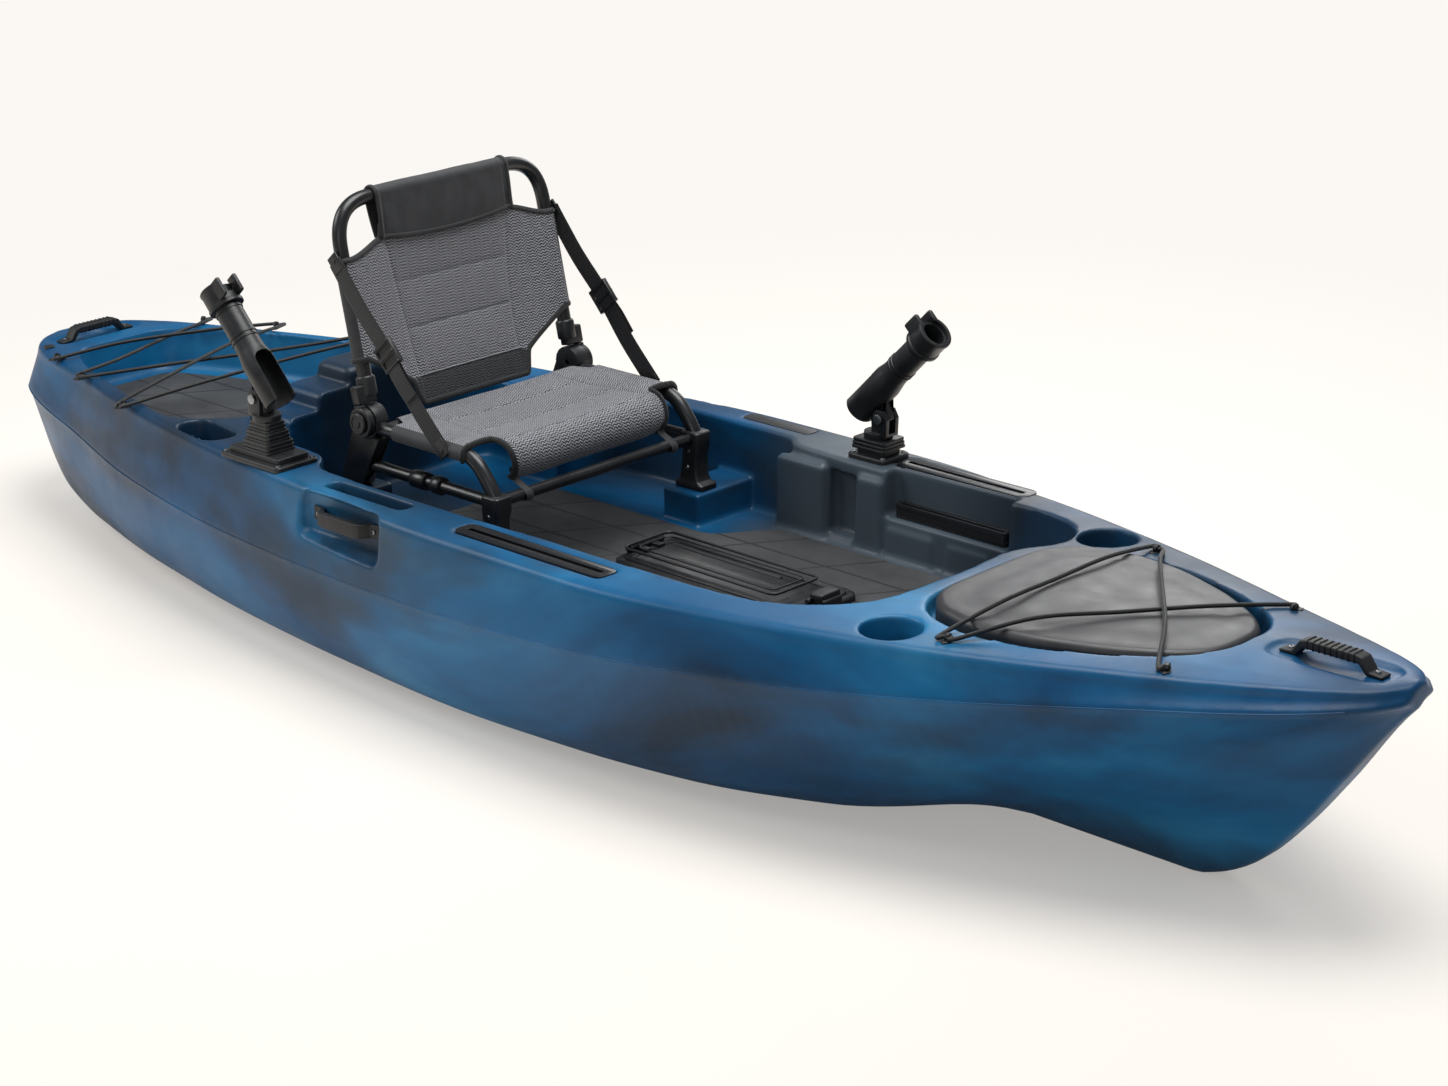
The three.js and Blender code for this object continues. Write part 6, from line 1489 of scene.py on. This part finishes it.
for name, x, y, turn, tilt, steps_up, length, width in ROD_HOLDERS:
    foot = pocket_floor(x, y, length / 2, width / 4, 0.001) + 0.0003
    stand = Matrix.Translation((x, y, foot)) @ Matrix.Rotation(turn, 4, "Z")
    parts = [slab("plate", rectangle(length, width, 0, 0), 0.012, 0, 0.009, 0.003),
             slab("plinth", rectangle(length - 0.024, width - 0.024, 0, 0), 0.007, 0.008, BASE_TOP, 0.002)]
    for i in range(steps_up):
        level = BASE_TOP + i * STEP_HEIGHT
        for rise, share in ((0.0, 0.0), (0.0065, 0.0016), (0.0130, 0.0032)):
            plan = rectangle(0.072 - i * 0.009 - share, 0.062 - i * 0.009 - share, 0, 0)
            low = level + rise - 0.0005
            parts.append(slab("tier", plan, 0.007, low, low + 0.0048, 0.0012))
        core = rectangle(0.066 - i * 0.009, 0.056 - i * 0.009, 0, 0)
        parts.append(slab("core", core, 0.006, level - 0.001, BASE_TOP + (i + 1) * STEP_HEIGHT, 0.001))
    base = join(f"rod_base_{name}_moulded", *parts)
    corners = [(u * (length / 2 - 0.009), v * (width / 2 - 0.009), 0.0088) for u in (-1, 1) for v in (-1, 1)]
    heads = screws(f"rod_base_{name}_screws", corners, (0, 0, 1), 0.0043)
    for piece in (base, heads):
        piece.data.transform(stand)
    dress(base, black_nylon, f"rod_base_{name}")
    dress(heads, stainless, body="hull", slot="steel")
    refined(f"rod_fork_{name}", black_nylon, 0.0016, segments=3)
    refined(f"rod_bolt_{name}", stainless, 0.0012, segments=3)

    pivot = BASE_TOP + steps_up * STEP_HEIGHT + 0.0003 + FORK_RISE
    arm = stand @ Matrix.Translation((PIVOT_AHEAD, 0, pivot)) @ Matrix.Rotation(math.radians(-tilt), 4, "Y")
    tube = along_tube("tube", [(CUP_ROUND - 0.001, -0.036), (CUP_ROUND, -0.034), (CUP_ROUND, 0.046),
                               (0.0250, 0.066), (TUBE_ROUND, 0.074), (TUBE_ROUND, 0.190)])
    combine(tube, along_tube("bore", [(CUP_ROUND - 0.0036, -0.05), (CUP_ROUND - 0.0036, 0.046),
                                      (TUBE_ROUND - 0.004, 0.060), (TUBE_ROUND - 0.004, 0.21)]))
    combine(tube, prism("mouth", rectangle(0.150, 0.037, -0.020, 0), 0.016, 8, TUBE_LINE - 0.002, 0.1))
    turn_edges(tube, 0.0010, 2, 40)
    shape = [(-0.0102, -0.0119), (0.0102, -0.0119), (0.017, 0.0), (0.0260, 0.0190), (0.0400, 0.0170),
             (0.0380, 0.0215), (-0.0238, 0.0215), (-0.017, 0.0)]
    tab = loft("tab", [[(u, v, w) for u, w in shape] for v in (-0.0073, 0.0073)])
    turn_edges(tab, 0.0016, 3)
    bands = [along_tube("band", [(0.0238, low), (0.0254, low + 0.0008), (0.0254, low + 0.0032),
                                 (0.0238, low + 0.004)]) for low in (0.088, 0.096, 0.146)]
    moulding = join(f"rod_tube_{name}_moulded", tube, tab, *bands)

    collar = along_tube("collar", [(0.0290, 0.1545), (0.0318, 0.156), (0.0318, 0.1615), (COLLAR_ROUND, 0.163),
                                   (COLLAR_ROUND, 0.190), (0.0312, 0.192), (0.0312, 0.1955), (0.0300, 0.197)])
    for side in (-1, 1):
        near, far = sorted((side * 0.0130, side * 0.0222))
        lip = box("lip", (0.1640, near, TUBE_LINE + 0.016), (0.1985, far, TUBE_LINE + 0.0410))
        combine(collar, turn_edges(lip, 0.0038, 4), "UNION")
    combine(collar, along_tube("bore", [(0.0243, 0.14), (0.0243, 0.21)]))
    combine(collar, prism("mouth", rectangle(0.060, 0.0262, 0.203, 0), 0.012, 8, TUBE_LINE + 0.004, 0.12))
    turn_edges(collar, 0.0009, 2, 40)
    for piece, node in ((moulding, f"rod_tube_{name}"), (collar, f"rod_collar_{name}")):
        piece.data.transform(arm)
        dress(piece, black_nylon, node)
print("rod holders: 2, each with a riser, a fork, a tube and a collar")

# %% [markdown]
# The deck lines are elastic cord, six to eight millimetres thick, in a braided
# sheath. They are held in pad eyes at both ends, so they are drawn where they lie,
# along the same places as the solids' cords.

# %% Elastic cords
CORD, EYE_RISE = 0.0034, 0.0074


def eye_at(share_x, share_y, turn):
    x, y = share_x * HALF_LENGTH, share_y * HALF_BEAM
    place = Vector((x, y, pocket_floor(x, y, 0.0065, 0.017, 0.001) + EYE_RISE))
    turn += math.pi / 2
    return place, Vector((math.sin(turn), -math.cos(turn), 0))


def path_length(path):
    return sum((after - here).length for here, after in zip(path, path[1:]))


def pass_eye(eye, direction):
    return [eye[0] + eye[1] * direction * step * 0.006 for step in (-2.2, -0.8, 0.8, 2.2)]


def span(start, end, places, lift, height=None):
    points = []
    for share, rise in zip(places, lift):
        point = start.lerp(end, share)
        point.z = (height if height is not None else point.z) + rise
        points.append(point)
    return points


BOW_EYES = [eye_at(*row) for row in ((0.6, -0.572, 0.14), (0.6, 0.572, -0.14), (0.802, -0.355, 0.33),
                                     (0.802, 0.355, -0.33))]
aft_near, aft_far, fore_near, fore_far = BOW_EYES
COVER_LINE = 0.3765 + CORD + 0.0003
print("bow eyes:", [tuple(round(v, 3) for v in place) for place, _ in BOW_EYES])

# %% [markdown]
# The cover lifts with the cord's middle while its ends stay in the eyes. So each of
# the three legs is cut at its middle, and each half stretches between its eye and
# the edge of the cover, along its own direction.

# %% Bow cord
LEGS = ((fore_far, -1, aft_near, -1, 2, (0, 0, 0)), (aft_near, -1, aft_far, 1, 2, (0, 0, 0)),
        (aft_far, 1, fore_near, 1, 3, (CORD * 2, CORD * 2, CORD)))
BOW_HALVES, bow_length = [], 0.0
for number, (begin, way_out, finish, way_in, kept, lift) in enumerate(LEGS):
    leg = [*pass_eye(begin, way_out)[1:], *span(begin[0], finish[0], (0.25, 0.5, 0.75), lift, COVER_LINE),
           *pass_eye(finish, way_in)[:kept]]
    path, eyes = through(leg, 8), (begin[0], finish[0])
    bow_length += path_length(path)
    middle = min(range(len(path)), key=lambda i: abs((path[i] - eyes[0]).length - (path[i] - eyes[1]).length))
    for part, (points, eye, other) in enumerate(((path[:middle + 2], *eyes),
                                                 (path[middle - 1:], *eyes[::-1]))):
        half = drawn(f"bow_cord_braided_{number}_{part}", points, oval(CORD, CORD, 14))
        dress(half, braid, slot="deck_cord", rides=False)
        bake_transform(half)
        BOW_HALVES.append(half)
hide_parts("bow_cord")
print("bow cord:", round(bow_length, 2), "m")

# %% [markdown]
# One long cord zigzags over the tank well: three eyes forward, across, and three
# eyes back. The way forward lies over the way back where the two cross.

# %% Stern cord
STERN_EYES = [[eye_at(x, side * y, side * turn) for _, side in SIDES]
              for x, y, turn in ((-0.868, 0.4, 0.42), (-0.765, 0.53, 0.32), (-0.62, 0.69, 0.24))]
(aft_s, aft_p), (middle_s, middle_p), (fore_s, fore_p) = STERN_EYES
OVER = CORD * 2.6
STOPS = ((aft_s, 1), (middle_p, 1), (fore_s, 1), (fore_p, -1), (middle_s, -1), (aft_p, -1))
route = pass_eye(aft_s, 1)[1:]
for (eye, _), (after, way), lift in zip(STOPS, STOPS[1:], (OVER, OVER, 0, -CORD / 2, -CORD / 2)):
    route += span(eye[0], after[0], (0.3, 0.7), (lift, lift)) + pass_eye(after, way)
path = through(route[:-1], 8)
dress(drawn("stern_cord_braided", path, oval(CORD, CORD, 14)), braid, "stern_cord")
print("stern cord:", round(path_length(path), 2), "m")

# %% [markdown]
# A moulded ring stands at the floor of each cup and grips the foot of a bottle.

# %% Cup rings
for name, side in SIDES:
    profile = [(0.0385, 0.0002), (0.0395, 0.006), (0.0375, 0.009), (0.0345, 0.009), (0.0330, 0.006),
               (0.0335, 0.0002)]
    rings = [[(CUP_X + r * math.cos(a), side * CUP_Y + r * math.sin(a), CUP_RIM - CUP_DEPTH + z)
              for a in np.linspace(0, 2 * math.pi, 49)] for r, z in profile]
    faces = [(i * 49 + j, i * 49 + j + 1, ((i + 1) % 6) * 49 + j + 1, ((i + 1) % 6) * 49 + j)
             for i in range(6) for j in range(48)]
    made = mesh_piece(f"cup_ring_{name}", [point for row in rings for point in row], faces)
    dress(smooth(made, 40), cover_skin, body="hull", slot="black_plastic")
print("cup rings:", len(SIDES), "at", round(CUP_RIM - CUP_DEPTH, 3), "m")

# %% [markdown]
# The studio: a pale floor that runs out of sight, one large soft light above, one at the photographer's left,
# a faint one in front and a weaker one from behind, and a pale sky that fills in the shadows. The floor also
# glows for the camera alone. Near the boat a third of its colour is this painted light, which lifts the floor
# and the boat's shadow on it. Far from the boat the floor turns wholly to a plain glow, so that it ends in
# white without lighting the hull.

# %% Floor and lights
floor_paint, tree, shader, here, _ = new_material("studio_floor_paint")
speck = add(tree, "TexNoise", {"Vector": here, "Scale": 0.7, "Detail": 3.0})
reach = add(tree, "VectorMath", (here,), operation="LENGTH").outputs["Value"]
far = add(tree, "MapRange", (reach, 1.2, 3.2, 0.35, 1.0))
shown = add(tree, "Math", (far, add(tree, "LightPath")), operation="MULTIPLY")
# Painted light: an emission that only the camera sees. It is a third of the floor near the boat, where it
# lifts the floor and the shadow, and all of it far away.
floor_glow = add(tree, "Emission", {"Color": linear("#fbf8f4")})
fill(shader, {
    "Base Color": add(tree, "ValToRGB", (speck,), ((0.3, "#f3ebe1"), (0.7, "#f8f1e8"))), "Roughness": 0.8})
fill(tree.nodes["Material Output"], {"Surface": add(tree, "MixShader", (shown, shader, floor_glow))})
pick()
bpy.ops.mesh.primitive_plane_add(size=90, location=(0, 0, -0.0005))
studio_floor = bpy.context.object
studio_floor.name = "studio_floor"
studio_floor.data.materials.append(floor_paint)
studio_floor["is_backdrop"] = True


def softbox(name, place, aim, size, power):
    lamp = bpy.data.lights.new(name, "AREA")
    lamp.shape, lamp.size, lamp.energy = "DISK", size, power
    made = in_scene(name, lamp)
    made.location = place
    made.rotation_euler = (Vector(aim) - Vector(place)).to_track_quat("-Z", "Y").to_euler()


softbox("overhead_light", (0.4, 0.4, 4.6), (0, 0, 0), 3.6, 215)
softbox("left_light", (-3.4, -2.7, 3.3), (-0.1, 0, 0.2), 2.6, 95)
softbox("front_light", (3.2, -5.2, 2.6), (0.2, 0, 0.3), 2.4, 26)
softbox("rear_light", (-1.8, 4.4, 2.6), (0, 0, 0.3), 2.6, 60)
world = bpy.data.worlds.new("studio_sky")
bpy.context.scene.world = world
world.use_nodes = True
sky = world.node_tree
sky.nodes.clear()
rays = add(sky, "LightPath").outputs
mirror = add(sky, "Math", (rays["Is Camera Ray"], rays["Is Transmission Ray"]), operation="MAXIMUM")
lit = add(sky, "Background", {"Color": linear("#eef1f5"), "Strength": 0.26})
shown = add(sky, "Background", {"Color": linear("#faf7f3"), "Strength": 1.0})
add(sky, "OutputWorld", {"Surface": add(sky, "MixShader", (mirror, lit, shown))})
print("lights:", len(bpy.data.lights))

# %% [markdown]
# The box of all visible pieces, floor left out, is worked out and printed. The
# visual model has to stay in the solids' box.

# %% Sizes and finish
import json

low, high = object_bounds()
print("visual box:", [round(v, 4) for v in (*low, *high)])
